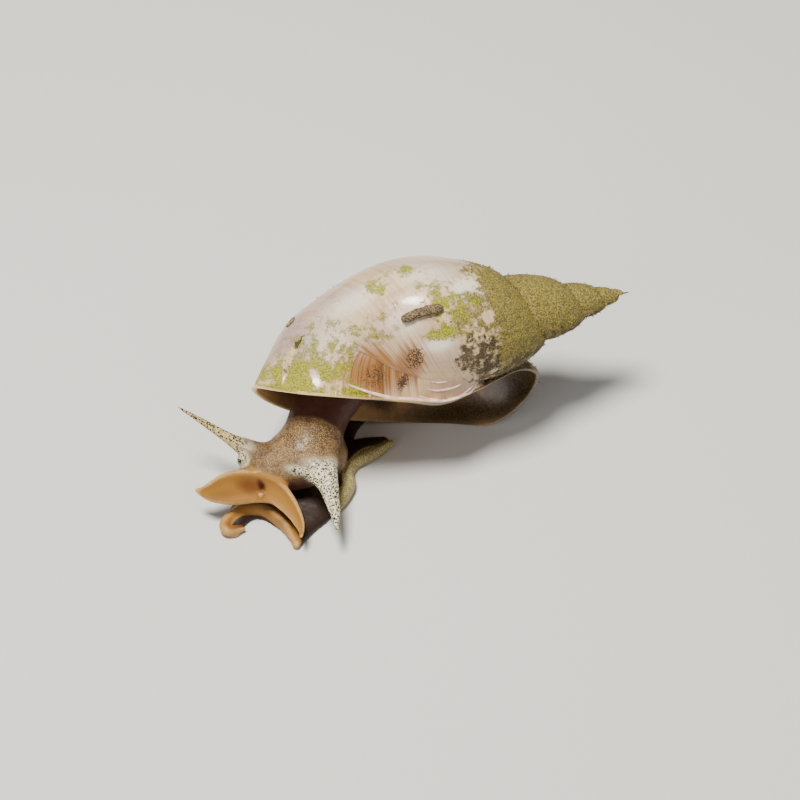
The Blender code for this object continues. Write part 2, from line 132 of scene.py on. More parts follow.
# Soft spots in the picture's frame: x, y, half-width, half-height, turn in degrees, strength
def spots(picture, rows):
    total = np.zeros(len(picture))
    for x, y, halfWide, halfHigh, turn, strength in rows:
        angle = math.radians(turn)
        dx, dy = picture[:, 0] - x, picture[:, 1] - y
        u = (dx * math.cos(angle) + dy * math.sin(angle)) / halfWide
        v = (-dx * math.sin(angle) + dy * math.cos(angle)) / halfHigh
        total = np.maximum(total, strength * np.exp(-(u * u + v * v) ** 1.5))
    return total


# Share that rises from 0 at the low value to 1 at the high one, eased at both ends
def easeBetween(values, low, high):
    t = np.clip((values - low) / (high - low), 0, 1)
    return t * t * (3 - 2 * t)


# Area-weighted normals of quads: the cross product of each one's two diagonals
def quadNormals(points, quads):
    return np.cross(points[quads[:, 2]] - points[quads[:, 0]], points[quads[:, 3]] - points[quads[:, 1]])


# Normals of a mesh's points: the sum of those of the quads round each, cut to length one
def pointNormals(points, quads):
    normal = quadNormals(points, quads)
    total = np.zeros_like(points)
    for k in range(4):
        for axis in range(3):
            total[:, axis] += np.bincount(quads[:, k], normal[:, axis], len(points))
    return total / np.maximum(np.linalg.norm(total, axis=1, keepdims=True), 1e-12)


# Map of a mesh from one place a point
def fillMap(mesh, name, places):
    corner = np.empty(len(mesh.loops), np.int32)
    mesh.loops.foreach_get("vertex_index", corner)
    layer = mesh.uv_layers.new(name=name)
    layer.data.foreach_set("uv", places[corner].astype(np.float32).ravel())


# Object from points in millimetres, with one float attribute for each mask
def addPiece(name, points, faceLists, material, masks=None, growthMap=None):
    mesh = bpy.data.meshes.new(name)
    faces = [tuple(face) for block in faceLists for face in block.tolist()]
    mesh.from_pydata((points * mm).tolist(), [], faces)
    mesh.polygons.foreach_set("use_smooth", np.ones(len(faces), bool))
    for key, values in (masks or {}).items():
        mesh.attributes.new(key, "FLOAT", "POINT").data.foreach_set("value", values.astype(np.float32))
    if growthMap is not None:
        fillMap(mesh, "growth", growthMap)
    mesh.materials.append(material)
    mesh.update()
    piece = bpy.data.objects.new(name, mesh)
    bpy.context.scene.collection.objects.link(piece)
    return piece


# The shell's axis, the way its mouth faces and the way to its outer lip
def shellAxes():
    axis = unit(shellForm["axis"])
    faces = np.array(shellForm["apertureFaces"])
    faces = unit(faces - axis * faces.dot(axis))
    return axis, faces, np.cross(axis, faces)


# Distance from the apex along the shell's axis
def fromApex(points):
    return (np.array(shellForm["apex"]) - points) @ shellAxes()[0]


# Shell: one outline swept round a slanting axis while it shrinks by a fixed ratio a turn
def shellRings(turns, grow=0.0, around=None):
    form = shellForm
    count = around or form["around"]
    turns = np.atleast_1d(np.asarray(turns, float))[:, None]
    lip = closedPath(form["lip"], count)
    whorl = closedPath([(u, q, form["slant"] * (form["length"] - u)) for u, q in form["whorl"]], count)
    lipShare = np.exp(-(np.maximum(turns, 0) / form["lipReach"]) ** form["lipFadePower"])[:, :, None]
    ring = whorl + (lip - whorl) * lipShare
    step = np.roll(ring, -1, axis=1) - np.roll(ring, 1, axis=1)
    normal = np.stack([-step[..., 1], step[..., 0]], axis=2)
    normal /= np.linalg.norm(normal, axis=2, keepdims=True)
    middle = ring[..., 0].mean(axis=1, keepdims=True)
    outward = np.sign(np.sum(normal[..., 0] * (ring[..., 0] - middle), axis=1))
    normal *= outward[:, None, None]
    along = ring[..., 0] * form["whorlGrowth"] ** -turns
    out = ring[..., 1] * form["girthGrowth"] ** -turns
    ahead = ring[..., 2] * form["whorlGrowth"] ** -turns
    grow = np.broadcast_to(np.asarray(grow, float), turns.shape if np.ndim(grow) < 2 else along.shape)
    inward = np.stack([along.mean(axis=1, keepdims=True) - along,
                       out.mean(axis=1, keepdims=True) - out], axis=2)
    reach = np.linalg.norm(inward, axis=2)
    inward = inward / reach[..., None]
    square = np.maximum(-np.sum(inward * normal, axis=2), form["flattestCorner"])
    pillarSide = np.clip((form["columellaReach"] - ring[..., 1]) / form["columellaReach"], 0, 1)
    thicker = 1 + form["columellaThicker"] * pillarSide
    depth = np.minimum(np.maximum(-grow, 0) * thicker / square, reach * form["deepestShare"])
    raised = np.maximum(grow, 0)
    along = along + inward[..., 0] * depth + normal[..., 0] * raised
    out = out + inward[..., 1] * depth + normal[..., 1] * raised
    axis, faces, outer = shellAxes()
    angle = 2 * math.pi * turns
    outWay = np.cos(angle)[..., None] * outer + np.sin(angle)[..., None] * np.cross(axis, outer)
    aheadWay = np.cos(angle)[..., None] * faces + np.sin(angle)[..., None] * np.cross(axis, faces)
    return (np.array(form["apex"]) - along[..., None] * axis + out[..., None] * outWay
            + ahead[..., None] * aheadWay)


# Quads between successive rings, numbered ring after ring
def ringFaces(rows, around):
    i, j = np.meshgrid(np.arange(rows - 1), np.arange(around), indexing="ij")
    k = (j + 1) % around
    quads = np.stack([i * around + j, i * around + k, (i + 1) * around + k, (i + 1) * around + j], axis=-1)
    return quads.reshape(-1, 4)


# Triangles that close a ring on its hub
def hubFaces(start, around, hub):
    j = np.arange(around)
    return np.stack([start + j, start + (j + 1) % around, np.full(around, hub)], axis=1)


# Sum of the triple products of triangles' corners: below zero where the faces look inward
def signedVolume(a, b, c):
    return np.sum(np.einsum("ij,ij->i", a, np.cross(b, c)))


# Rings joined into one closed skin, turned outward by the sign of its volume
def closedLoft(rings):
    rows, around = rings.shape[:2]
    points = np.vstack([rings.reshape(-1, 3), rings[0].mean(axis=0), rings[-1].mean(axis=0)])
    quads = ringFaces(rows, around)
    caps = np.vstack([hubFaces(0, around, rows * around)[:, ::-1],
                      hubFaces((rows - 1) * around, around, rows * around + 1)])
    centred = points - points.mean(axis=0)
    a, b, c, d = (centred[quads[:, k]] for k in range(4))
    if signedVolume(a, b, c) + signedVolume(a, c, d) < 0:
        quads, caps = quads[:, ::-1], caps[:, ::-1]
    return points, quads, caps


# Grid of sight lines over the valley, its edges and pitch in the picture's pixels. Heights and
# reaches are in millimetres: cells lifted by the two values of "lifted" carry their points with
# them from not at all to fully, and points within "reach" below the film still follow it
valleyFill = {"x": (284, 486), "y": (316, 408), "pixel": 2.0, "rounds": 1200, "most": 12.0,
              "lifted": (0.05, 0.3), "spread": 3, "share": 0.985, "reach": (10.0, 14.0)}


# The four neighbours of every inner cell of a grid
def besideCells(grid):
    return np.stack([grid[:-2, 1:-1], grid[2:, 1:-1], grid[1:-1, :-2], grid[1:-1, 2:]])


# Values of a grid between its cells, blended from the four around each place
def sampleGrid(grid, x, y):
    i, j = np.floor(y).astype(int), np.floor(x).astype(int)
    fy, fx = y - i, x - j
    return (grid[i, j] * (1 - fx) * (1 - fy) + grid[i, j + 1] * fx * (1 - fy)
            + grid[i + 1, j] * (1 - fx) * fy + grid[i + 1, j + 1] * fx * fy)


# Valley between the last whorl and the inner lip filled by a film of callus: over a grid of sight
# lines, each height rises to the mean of its four neighbours wherever that is nearer the eye
def fillValley(points, outside):
    form = valleyFill
    xs = np.arange(*form["x"], form["pixel"])
    ys = np.arange(*form["y"], form["pixel"])
    tree = BVHTree.FromPolygons(points.tolist(), outside.tolist())
    picture, back = pictureOf(points)
    hits = [[sightPoint(tree, x, y, 1) for x in xs] for y in ys]
    height = np.array([[hit[0] @ back if hit else np.nan for hit in row] for row in hits])
    # A sight line that slips between two faces takes the mean height of those beside it
    around = besideCells(height)
    lost = np.isnan(height[1:-1, 1:-1]) & (np.isfinite(around).sum(axis=0) > 1)
    height[1:-1, 1:-1][lost] = np.nanmean(around[:, lost], axis=0)
    solid = np.isfinite(height)
    known = np.where(solid, height, -1e3)
    raised = known.copy()
    held = np.ones_like(solid)
    held[1:-1, 1:-1] = ~(solid[1:-1, 1:-1] & besideCells(solid).all(axis=0))
    for _ in range(form["rounds"]):
        mean = raised.copy()
        mean[1:-1, 1:-1] = besideCells(raised).sum(axis=0) / 4
        raised = np.where(held, known, np.maximum(known, mean))
    lift = np.where(solid, np.minimum(raised - known, form["most"]), 0.0)
    print("valley filled by up to", round(float(lift.max()), 2), "mm")

    x = (picture[:, 0] - xs[0]) / form["pixel"]
    y = (picture[:, 1] - ys[0]) / form["pixel"]
    inside = (x > 0) & (y > 0) & (x < len(xs) - 1.01) & (y < len(ys) - 1.01)
    below = np.full(len(points), -1.0)
    below[inside] = sampleGrid(raised, x[inside], y[inside]) - points[inside] @ back
    near = inside & (below > 0) & (below < form["reach"][1])
    wider = lift.copy()
    for _ in range(form["spread"]):
        wider[1:-1, 1:-1] = np.maximum(wider[1:-1, 1:-1], besideCells(wider).max(axis=0))
    close = easeBetween(sampleGrid(wider, x[near], y[near]), *form["lifted"]) * form["share"]
    moved = np.zeros(len(points))
    moved[near] = close * below[near] * (1 - easeBetween(below[near], *form["reach"]))
    return points + back * moved[:, None]


# Height eased above the floor, so that nothing sinks into it and walls keep their order
def easeToFloor(points):
    ease = shellForm["floorEase"]
    low = points[:, 2] < ease
    points[low, 2] = ease * np.exp((points[low, 2] - ease) / ease)
    return points


# Flesh is a distance field in millimetres: ovals carried along paths, blended where they meet
skinForm = {
    "step": 0.16, "low": (-18.0, -11.6, -0.4), "high": (20.6, 21.0, 16.4), "margin": 1.4,
    "slimmer": 0.10, "thinnest": 0.12, "floor": 0.03, "smoothing": 3, "broad": (14, 0.6),
    "wrinkle": 0.035}

headSide = (0.943, -0.333, 0.0)
lobeFacing = (-0.20, -0.76, 0.62)
upright = (0, 0, 1)

# A path's cap is how far its round ends stick out, as a share of the oval's smaller half-size
fleshPaths = {
    "run": {"across": headSide, "samples": 26, "cap": 0.25, "stations": [
        (4.6, 10.4, 11.3, 4.6, 4.0), (2.6, 7.8, 9.8, 4.3, 4.0), (1.1, 5.4, 8.3, 3.9, 3.7),
        (0.2, 3.1, 6.9, 4.1, 3.6), (-1.2, 0.6, 5.8, 5.0, 3.5), (-3.2, -1.3, 5.1, 4.6, 2.9),
        (-4.8, -2.2, 4.9, 3.6, 2.2)]},
    "lobes": {"across": lobeFacing, "samples": 56, "stations": [
        (-14.4, -3.8, 4.7, 0.3, 0.35), (-13.3, -4.2, 4.8, 0.55, 1.0), (-12.2, -4.2, 4.9, 0.7, 1.6),
        (-10.7, -3.9, 5.0, 0.75, 2.2), (-8.8, -3.6, 5.1, 0.8, 2.4), (-6.6, -3.6, 5.1, 0.8, 2.2),
        (-4.5, -4.1, 4.9, 0.8, 1.85), (-3.1, -5.2, 4.4, 0.8, 1.5), (-2.0, -6.6, 3.9, 0.75, 1.15),
        (-1.25, -8.0, 3.5, 0.65, 0.85), (-0.95, -9.2, 3.2, 0.5, 0.55), (-0.95, -9.9, 3.0, 0.35, 0.35)]},
    "tentacleRight": {"samples": 24, "stations": [
        (-5.4, 0.0, 6.2, 2.0, 1.5), (-7.9, 1.2, 6.8, 1.5, 1.2), (-10.4, 2.2, 7.8, 0.85, 0.8),
        (-13.6, 3.6, 9.3, 0.55, 0.5), (-16.7, 4.65, 11.0, 0.25, 0.25)]},
    "tentacleLeft": {"samples": 30, "stations": [
        (0.6, -0.6, 6.6, 2.7, 1.6), (1.6, -2.5, 6.9, 2.1, 1.3), (2.45, -4.4, 6.4, 1.45, 1.0),
        (2.9, -6.1, 5.9, 1.1, 0.8), (3.3, -7.7, 5.3, 0.8, 0.6), (3.5, -9.2, 4.8, 0.5, 0.42),
        (3.6, -10.3, 4.4, 0.25, 0.25)]},
    "pad": {"samples": 24, "stations": [
        (-7.0, -2.0, 0.2, 2.8, 1.4), (-4.2, -1.5, 0.2, 3.8, 1.8), (-1.0, -0.8, 0.2, 4.4, 1.9),
        (2.0, 1.8, 0.2, 3.2, 1.9), (4.2, 4.6, 0.2, 2.4, 1.9), (6.6, 6.2, 0.2, 1.8, 1.8),
        (9.2, 7.4, 0.2, 1.0, 1.2)]},
    "rear": {"samples": 34, "stations": [
        (-1.0, -0.8, 0.2, 4.2, 1.8), (0.6, 2.6, 0.2, 4.4, 1.9), (1.2, 6.0, 0.2, 4.2, 1.9),
        (1.8, 9.4, 0.2, 3.9, 1.9), (3.6, 12.6, 0.2, 3.6, 1.9), (7.0, 15.2, 0.2, 3.2, 1.8),
        (11.2, 16.6, 0.2, 2.7, 1.6), (15.6, 17.2, 0.2, 2.0, 1.3), (18.8, 17.3, 0.2, 0.9, 0.8)]},
    "margin": {"samples": 44, "stations": [
        (3.3, -4.2, 0.8, 0.5, 0.7), (4.2, -2.2, 1.0, 0.85, 1.05), (5.0, -0.2, 0.9, 0.85, 1.1),
        (4.8, 1.6, 1.0, 0.85, 1.05), (5.4, 3.2, 0.9, 0.6, 1.1), (6.9, 4.5, 1.0, 0.9, 1.05),
        (8.7, 5.5, 0.9, 0.65, 1.1), (10.3, 6.9, 0.9, 0.5, 0.8)]},
    "cornerLeft": {"samples": 14, "stations": [
        (-1.7, -9.3, 0.4, 0.6, 0.6), (-0.8, -6.4, 0.3, 1.7, 1.2), (0.6, -3.2, 0.2, 2.8, 1.6),
        (1.8, 0.4, 0.2, 3.2, 1.8)]},
    "cornerRight": {"samples": 12, "stations": [
        (-9.8, -7.3, 0.4, 0.9, 0.7), (-9.0, -4.2, 0.3, 1.6, 1.1), (-6.6, -1.6, 0.2, 2.4, 1.5)]},
    "frontSheet": {"samples": 18, "stations": [
        (-9.2, -5.6, 0.1, 0.9, 0.8), (-7.4, -3.8, 0.1, 1.3, 0.9), (-5.2, -3.8, 0.1, 1.7, 1.0),
        (-3.4, -4.8, 0.1, 1.9, 1.0), (-2.2, -6.6, 0.1, 1.4, 0.9), (-1.7, -8.6, 0.1, 0.6, 0.7)]},
    "footRim": {"samples": 36, "stations": [
        (-8.4, -6.9, 0.6, 0.35, 0.4), (-10.3, -7.5, 0.8, 0.7, 0.7), (-10.9, -6.3, 0.9, 0.75, 0.8),
        (-9.4, -4.5, 1.1, 0.75, 0.85), (-7.4, -3.9, 1.2, 0.75, 0.85), (-5.3, -4.4, 1.2, 0.75, 0.85),
        (-3.2, -6.6, 1.0, 0.75, 0.8), (-1.6, -9.4, 0.8, 0.5, 0.5)]}}

fleshBalls = {
    "throat": ((-6.0, -2.3, 5.0), (3.6, 1.2, 1.9), -19),
    "stalk": ((1.0, 3.8, 3.6), (3.5, 4.4, 3.4), 38),
    "tubercleLeft": ((-1.4, -2.0, 6.7), (1.5, 0.9, 0.9), -15),
    "tubercleRight": ((-8.2, -0.2, 6.3), (1.2, 1.0, 0.9), 20),
    "lipBump": ((-6.15, -4.45, 4.55), (0.50, 0.45, 0.45), 0)}

# Order in which the forms are blended into the flesh, each with the width of its blend
fleshOrder = [
    ("run", 0.1), ("throat", 0.7), ("stalk", 1.0), ("tentacleRight", 1.2), ("tentacleLeft", 1.2),
    ("tubercleRight", 0.5), ("tubercleLeft", 0.5), ("pad", 0.8), ("rear", 0.8), ("margin", 0.35),
    ("cornerLeft", 0.7), ("cornerRight", 0.7), ("frontSheet", 0.5), ("footRim", 0.35), ("lobes", 0.45)]
lipBumpBlend = 0.30

# Scoop along the lobes' faces and the mouth between them, cut softly into the flesh
lobeScoop = {"lift": 1.08, "drop": 0.10, "thick": 0.90, "wide": 0.78, "blend": 0.26, "samples": 30}
mouthHollow = {"centre": (-6.15, -4.2, 5.2), "radii": (0.42, 0.9, 0.75), "turn": -25, "blend": 0.25,
               "reach": 2.5}


# Stretches between a path's stations, as (start, end, way, length, side, slant, narrowing, rise, cap).
# A given side that isn't square to the way slants the ovals, so it is squared, and the slant kept apart
def pathStretches(path, slimmer=0.0):
    rows = smoothPath(path["stations"], path["samples"])
    rows[:, 3:] = np.maximum(rows[:, 3:] - slimmer, skinForm["thinnest"])
    way = np.diff(rows[:, :3], axis=0)
    length = np.linalg.norm(way, axis=1)
    way = unitRows(way)
    given = np.tile(unit(path["across"]), (len(way), 1)) if "across" in path else np.cross(way, upright)
    given = unitRows(given)
    along = np.sum(given * way, axis=1)
    side = given - along[:, None] * way
    narrowing = np.linalg.norm(side, axis=1)
    side /= narrowing[:, None]
    rise = np.cross(side, way)
    cap = path.get("cap", 1.0)
    return [(rows[k], rows[k + 1], way[k], length[k], side[k], along[k] / narrowing[k], narrowing[k],
             rise[k], cap) for k in range(len(way))]


# Distance to an oval carried along one stretch: f = sqrt((w/W)^2 + (h/H)^2 + (p/E)^2), times
# (f - 1) and divided by the length of f's slope
def stretchDistance(points, start, end, way, length, side, slant, narrowing, rise, cap):
    rel = points - start[:3]
    w = rel @ side
    h = rel @ rise
    reach = rel @ way - w * slant
    t = np.clip(reach / length, 0, 1)
    past = reach - t * length
    wide = (start[3] + (end[3] - start[3]) * t) * narrowing
    high = start[4] + (end[4] - start[4]) * t
    tip = np.minimum(wide, high) * cap
    inner = np.sqrt((w / wide) ** 2 + (h / high) ** 2 + (past / tip) ** 2) + 1e-9
    slope = np.sqrt((w / wide ** 2) ** 2 + (h / high ** 2) ** 2 + (past / tip ** 2) ** 2) + 1e-9
    return inner * (inner - 1) / slope


# Distance to the nearest of a path's stretches
def pathDistance(points, path):
    best = np.full(points.shape[:-1], 1e3)
    for stretch in pathStretches(path):
        best = np.minimum(best, stretchDistance(points, *stretch))
    return best


# Distance to a turned oval: f = the length of the place over the half-sizes, times (f - 1) and
# divided by the length of f's slope
def ballDistance(points, centre, radii, turn, slimmer=0.0):
    angle = math.radians(turn)
    rel = points - np.array(centre)
    x = rel[..., 0] * math.cos(angle) + rel[..., 1] * math.sin(angle)
    y = -rel[..., 0] * math.sin(angle) + rel[..., 1] * math.cos(angle)
    local = np.stack([x, y, rel[..., 2]], axis=-1)
    size = np.array(radii) - slimmer
    inner = np.linalg.norm(local / size, axis=-1) + 1e-9
    slope = np.linalg.norm(local / size ** 2, axis=-1) + 1e-9
    return inner * (inner - 1) / slope


# Union of two distances, rounded over the soft width where they meet
def blendIn(a, b, soft):
    share = np.clip(0.5 + 0.5 * (b - a) / soft, 0, 1)
    return b + (a - b) * share - soft * share * (1 - share)


# One distance with another taken out of it, the edge rounded
def carve(a, b, soft):
    return -blendIn(-a, b, soft)


# The block of a grid that a box covers, and the places of its points
def gridBlock(low, step, shape, boxLow, boxHigh):
    first = np.maximum(np.floor((boxLow - low) / step).astype(int), 0)
    last = np.minimum(np.ceil((boxHigh - low) / step).astype(int) + 1, shape)
    axes = [low[k] + step * np.arange(first[k], last[k]) for k in range(3)]
    points = np.stack(np.meshgrid(*axes, indexing="ij"), axis=-1)
    return tuple(slice(first[k], last[k]) for k in range(3)), points


# Grid of distances with every form blended in, block by block
def fleshField():
    step, margin = skinForm["step"], skinForm["margin"]
    low, high = np.array(skinForm["low"]), np.array(skinForm["high"])
    shape = np.round((high - low) / step).astype(int)
    field = np.full(shape, 1e3)

    def alongPath(path, slimmer):
        own = np.full(shape, 1e3)
        for stretch in pathStretches(path, slimmer):
            start, end = stretch[:2]
            reach = max(start[3:].max(), end[3:].max()) + margin
            block, points = gridBlock(low, step, shape, np.minimum(start[:3], end[:3]) - reach,
                                      np.maximum(start[:3], end[:3]) + reach)
            own[block] = np.minimum(own[block], stretchDistance(points, *stretch))
        return own, own < margin

    def aroundPlace(centre, reach):
        return gridBlock(low, step, shape, np.array(centre) - reach, np.array(centre) + reach)

    def addPath(name, soft):
        own, near = alongPath(fleshPaths[name], skinForm["slimmer"])
        field[near] = blendIn(field[near], own[near], soft)

    def addBall(name, soft):
        centre, radii, turn = fleshBalls[name]
        block, points = aroundPlace(centre, max(radii) + margin)
        own = ballDistance(points, centre, radii, turn, skinForm["slimmer"])
        field[block] = blendIn(field[block], own, soft)

    for name, soft in fleshOrder:
        (addPath if name in fleshPaths else addBall)(name, soft)

    own, near = alongPath(scoopPath(), 0.0)
    field[near] = carve(field[near], own[near], lobeScoop["blend"])
    hollow = mouthHollow
    block, points = aroundPlace(hollow["centre"], hollow["reach"])
    own = ballDistance(points, hollow["centre"], hollow["radii"], hollow["turn"])
    field[block] = carve(field[block], own, hollow["blend"])
    addBall("lipBump", lipBumpBlend)

    heights = low[2] + step * np.arange(shape[2])
    field = np.maximum(field, skinForm["floor"] - heights[None, None, :])
    return field, low, step


# Path of the scoop: the lobes' own path, moved out of their faces and narrowed
def scoopPath():
    form, facing = lobeScoop, unit(lobeFacing)
    rows = []
    for x, y, z, thick, wide in fleshPaths["lobes"]["stations"][1:-1]:
        centre = np.array([x, y, z]) + facing * (thick * form["lift"]) - np.array(upright) * form["drop"]
        rows.append((*centre, thick * form["thick"], wide * form["wide"]))
    return {"across": lobeFacing, "samples": form["samples"], "stations": rows}


# Surface net: one point in each cell that the surface crosses, one quad for each crossed grid edge
def surfaceNet(field, low, step):
    inside = field < 0
    cells = np.array(field.shape) - 1
    total = np.zeros((int(np.prod(cells)), 3))
    hits = np.zeros(int(np.prod(cells)))
    quads = []
    for axis in range(3):
        a = np.moveaxis(field, axis, 0)[:-1]
        b = np.moveaxis(field, axis, 0)[1:]
        sa, sb = np.moveaxis(inside, axis, 0)[:-1], np.moveaxis(inside, axis, 0)[1:]
        found = np.argwhere(sa != sb)
        va, vb = a[tuple(found.T)], b[tuple(found.T)]
        back = sa[tuple(found.T)]
        order = [axis] + [k for k in range(3) if k != axis]
        place = np.empty_like(found)
        for k in range(3):
            place[:, order[k]] = found[:, k]
        crossing = place.astype(float)
        crossing[:, axis] += va / (va - vb)
        one, two = [k for k in range(3) if k != axis]
        corner = []
        good = np.ones(len(place), bool)
        for d1, d2 in ((1, 1), (0, 1), (0, 0), (1, 0)):
            cell = place.copy()
            cell[:, one] -= d1
            cell[:, two] -= d2
            good &= np.all((cell >= 0) & (cell < cells), axis=1)
            corner.append(cell)
        flat = [np.ravel_multi_index(np.clip(cell, 0, cells - 1).T, cells) for cell in corner]
        for index in flat:
            for k in range(3):
                total[:, k] += np.bincount(index[good], crossing[good, k], len(hits))
            hits += np.bincount(index[good], minlength=len(hits))
        quad = np.stack(flat, axis=1)[good]
        turned = back[good] if axis != 1 else ~back[good]
        quad[~turned] = quad[~turned][:, ::-1]
        quads.append(quad)
    quads = np.vstack(quads)
    used = np.unique(quads)
    number = np.full(len(hits), -1)
    number[used] = np.arange(len(used))
    points = total[used] / hits[used][:, None] * step + low
    return points, number[quads]


# Each point drawn toward the mean of its neighbours
def relax(points, faces, rounds, share=0.5):
    a = faces.ravel()
    b = np.roll(faces, -1, axis=1).ravel()
    ends, starts = np.concatenate([a, b]), np.concatenate([b, a])
    count = np.maximum(np.bincount(ends, minlength=len(points)), 1)
    for _ in range(rounds):
        mean = np.stack([np.bincount(ends, points[starts, k], len(points)) for k in range(3)], axis=1)
        points = points + share * (mean / count[:, None] - points)
    return points


# The largest connected body of a mesh of quads, found by spreading labels over its faces
def largestBody(points, faces):
    label = np.arange(len(points))
    while True:
        low = label[faces].min(axis=1)
        fresh = label.copy()
        for k in range(4):
            np.minimum.at(fresh, faces[:, k], low)
        fresh = fresh[fresh]
        if np.array_equal(fresh, label):
            break
        label = fresh
    main = np.bincount(label[faces[:, 0]]).argmax()
    kept = faces[label[faces[:, 0]] == main]
    used = np.unique(kept)
    number = np.full(len(points), -1)
    number[used] = np.arange(len(used))
    return points[used], number[kept]


# Shader node with its inputs linked or set
def addNode(tree, kind, inputs=None, **settings):
    node = tree.nodes.new(kind)
    for key, value in settings.items():
        setattr(node, key, value)
    for key, value in (inputs or {}).items():
        if isinstance(value, bpy.types.NodeSocket):
            tree.links.new(value, node.inputs[key])
        else:
            node.inputs[key].default_value = value
    return node


def mathNode(tree, operation, a, b, clamp=False):
    return addNode(tree, "ShaderNodeMath", {0: a, 1: b}, operation=operation, use_clamp=clamp).outputs[0]


def times(tree, a, b):
    return mathNode(tree, "MULTIPLY", a, b)


# Mix of two colours by a share; inputs 6 and 7 are the Mix node's two colours
def mixColour(tree, share, a, b):
    a, b = (value if isinstance(value, bpy.types.NodeSocket) else (*value, 1.0) for value in (a, b))
    return addNode(tree, "ShaderNodeMix", {0: share, 6: a, 7: b}, data_type="RGBA").outputs[2]


# One tint after another laid over a colour, each by its share
def washed(tree, colour, washes):
    for share, tint in washes:
        colour = mixColour(tree, share, colour, tint)
    return colour


def addBump(tree, shader, height, strength, distance):
    bump = addNode(tree, "ShaderNodeBump", {"Height": height, "Strength": strength, "Distance": distance})
    tree.links.new(bump.outputs[0], shader.inputs["Normal"])


def rangeNode(tree, value, low, high, toLow=0.0, toHigh=1.0):
    node = addNode(tree, "ShaderNodeMapRange", {
        "Value": value, "From Min": low, "From Max": high, "To Min": toLow, "To Max": toHigh},
        interpolation_type="SMOOTHSTEP")
    return node.outputs["Result"]


def newGroup(name, inputs, outputs):
    tree = bpy.data.node_groups.new(name, "ShaderNodeTree")
    for key, value in inputs:
        tree.interface.new_socket(key, in_out="INPUT", socket_type="NodeSocketFloat").default_value = value
    for key in outputs:
        tree.interface.new_socket(key, in_out="OUTPUT", socket_type="NodeSocketFloat")
    return tree, tree.nodes.new("NodeGroupInput").outputs, tree.nodes.new("NodeGroupOutput").inputs


# Dots: the near middles of scattered cells, some left out
def makeDotsGroup():
    tree, given, result = newGroup("scatteredDots", [
        ("Scale", 5000.0), ("Size", 0.35), ("Softness", 0.1), ("Share", 0.7)], ["Mask"])
    place = addNode(tree, "ShaderNodeTexCoord").outputs["Object"]
    cells = addNode(tree, "ShaderNodeTexVoronoi", {"Vector": place, "Scale": given["Scale"]}, feature="F1")
    near = mathNode(tree, "SUBTRACT", given["Size"], cells.outputs["Distance"])
    dot = mathNode(tree, "DIVIDE", near, given["Softness"], clamp=True)
    red = addNode(tree, "ShaderNodeSeparateColor", {"Color": cells.outputs["Color"]}).outputs[0]
    kept = mathNode(tree, "LESS_THAN", red, given["Share"])
    tree.links.new(times(tree, dot, kept), result["Mask"])
    return tree


# Mottle: one noise, turned into a mask between two levels
def makeMottleGroup():
    tree, given, result = newGroup("mottle", [
        ("Scale", 800.0), ("Detail", 4.0), ("Roughness", 0.5), ("Low", 0.45), ("High", 0.6)],
        ["Mask", "Height"])
    place = addNode(tree, "ShaderNodeTexCoord").outputs["Object"]
    noise = addNode(tree, "ShaderNodeTexNoise", {
        "Vector": place, "Scale": given["Scale"], "Detail": given["Detail"],
        "Roughness": given["Roughness"]}).outputs[0]
    tree.links.new(rangeNode(tree, noise, given["Low"], given["High"]), result["Mask"])
    tree.links.new(noise, result["Height"])
    return tree


# Streaks: noise drawn out one way on the shell's own map and tight across it
def makeStreakGroup():
    tree, given, result = newGroup("streaks", [
        ("Onward", 2.5), ("Round", 200.0), ("Low", 0.4), ("High", 0.62)], ["Mask", "Height"])
    place = addNode(tree, "ShaderNodeUVMap", uv_map="growth").outputs["UV"]
    parts = addNode(tree, "ShaderNodeSeparateXYZ", {"Vector": place})
    u = times(tree, parts.outputs[0], given["Onward"])
    v = times(tree, parts.outputs[1], given["Round"])
    stretched = addNode(tree, "ShaderNodeCombineXYZ", {0: u, 1: v}).outputs[0]
    noise = addNode(tree, "ShaderNodeTexNoise", {
        "Vector": stretched, "Scale": 1.0, "Detail": 3.0}).outputs[0]
    tree.links.new(rangeNode(tree, noise, given["Low"], given["High"]), result["Mask"])
    tree.links.new(noise, result["Height"])
    return tree


dotsGroup, mottleGroup, streakGroup = makeDotsGroup(), makeMottleGroup(), makeStreakGroup()


# Outputs of a node group put into a material with these inputs
def useGroup(tree, group, **inputs):
    return addNode(tree, "ShaderNodeGroup", inputs, node_tree=group).outputs


def readMask(tree, name):
    return addNode(tree, "ShaderNodeAttribute", attribute_name=name).outputs["Fac"]


def newMaterial(name, **fixed):
    material = bpy.data.materials.new(name)
    material.use_nodes = True
    shader = material.node_tree.nodes["Principled BSDF"]
    for key, value in fixed.items():
        shader.inputs[key.replace("_", " ")].default_value = value
    return material, material.node_tree, shader


# The highlight colour is for painted highlight; the two mud colours are for mud and for painted shade
shellFinish = {
    "cream": (0.76, 0.56, 0.28), "bone": (0.68, 0.47, 0.30), "lilac": (0.38, 0.28, 0.31),
    "horn": (0.36, 0.18, 0.065), "highlight": (0.96, 0.91, 0.76), "orange": (0.34, 0.125, 0.020),
    "umber": (0.035, 0.018, 0.006), "pink": (0.36, 0.16, 0.11), "lipEdge": (0.76, 0.53, 0.24),
    "inner": (0.34, 0.12, 0.022), "yellowGreen": (0.44, 0.42, 0.006), "green": (0.15, 0.16, 0.006),
    "khaki": (0.31, 0.25, 0.024), "olive": (0.070, 0.058, 0.009), "mudAndShade": (0.10, 0.064, 0.018),
    "mudAndShadeDark": (0.016, 0.010, 0.004)}
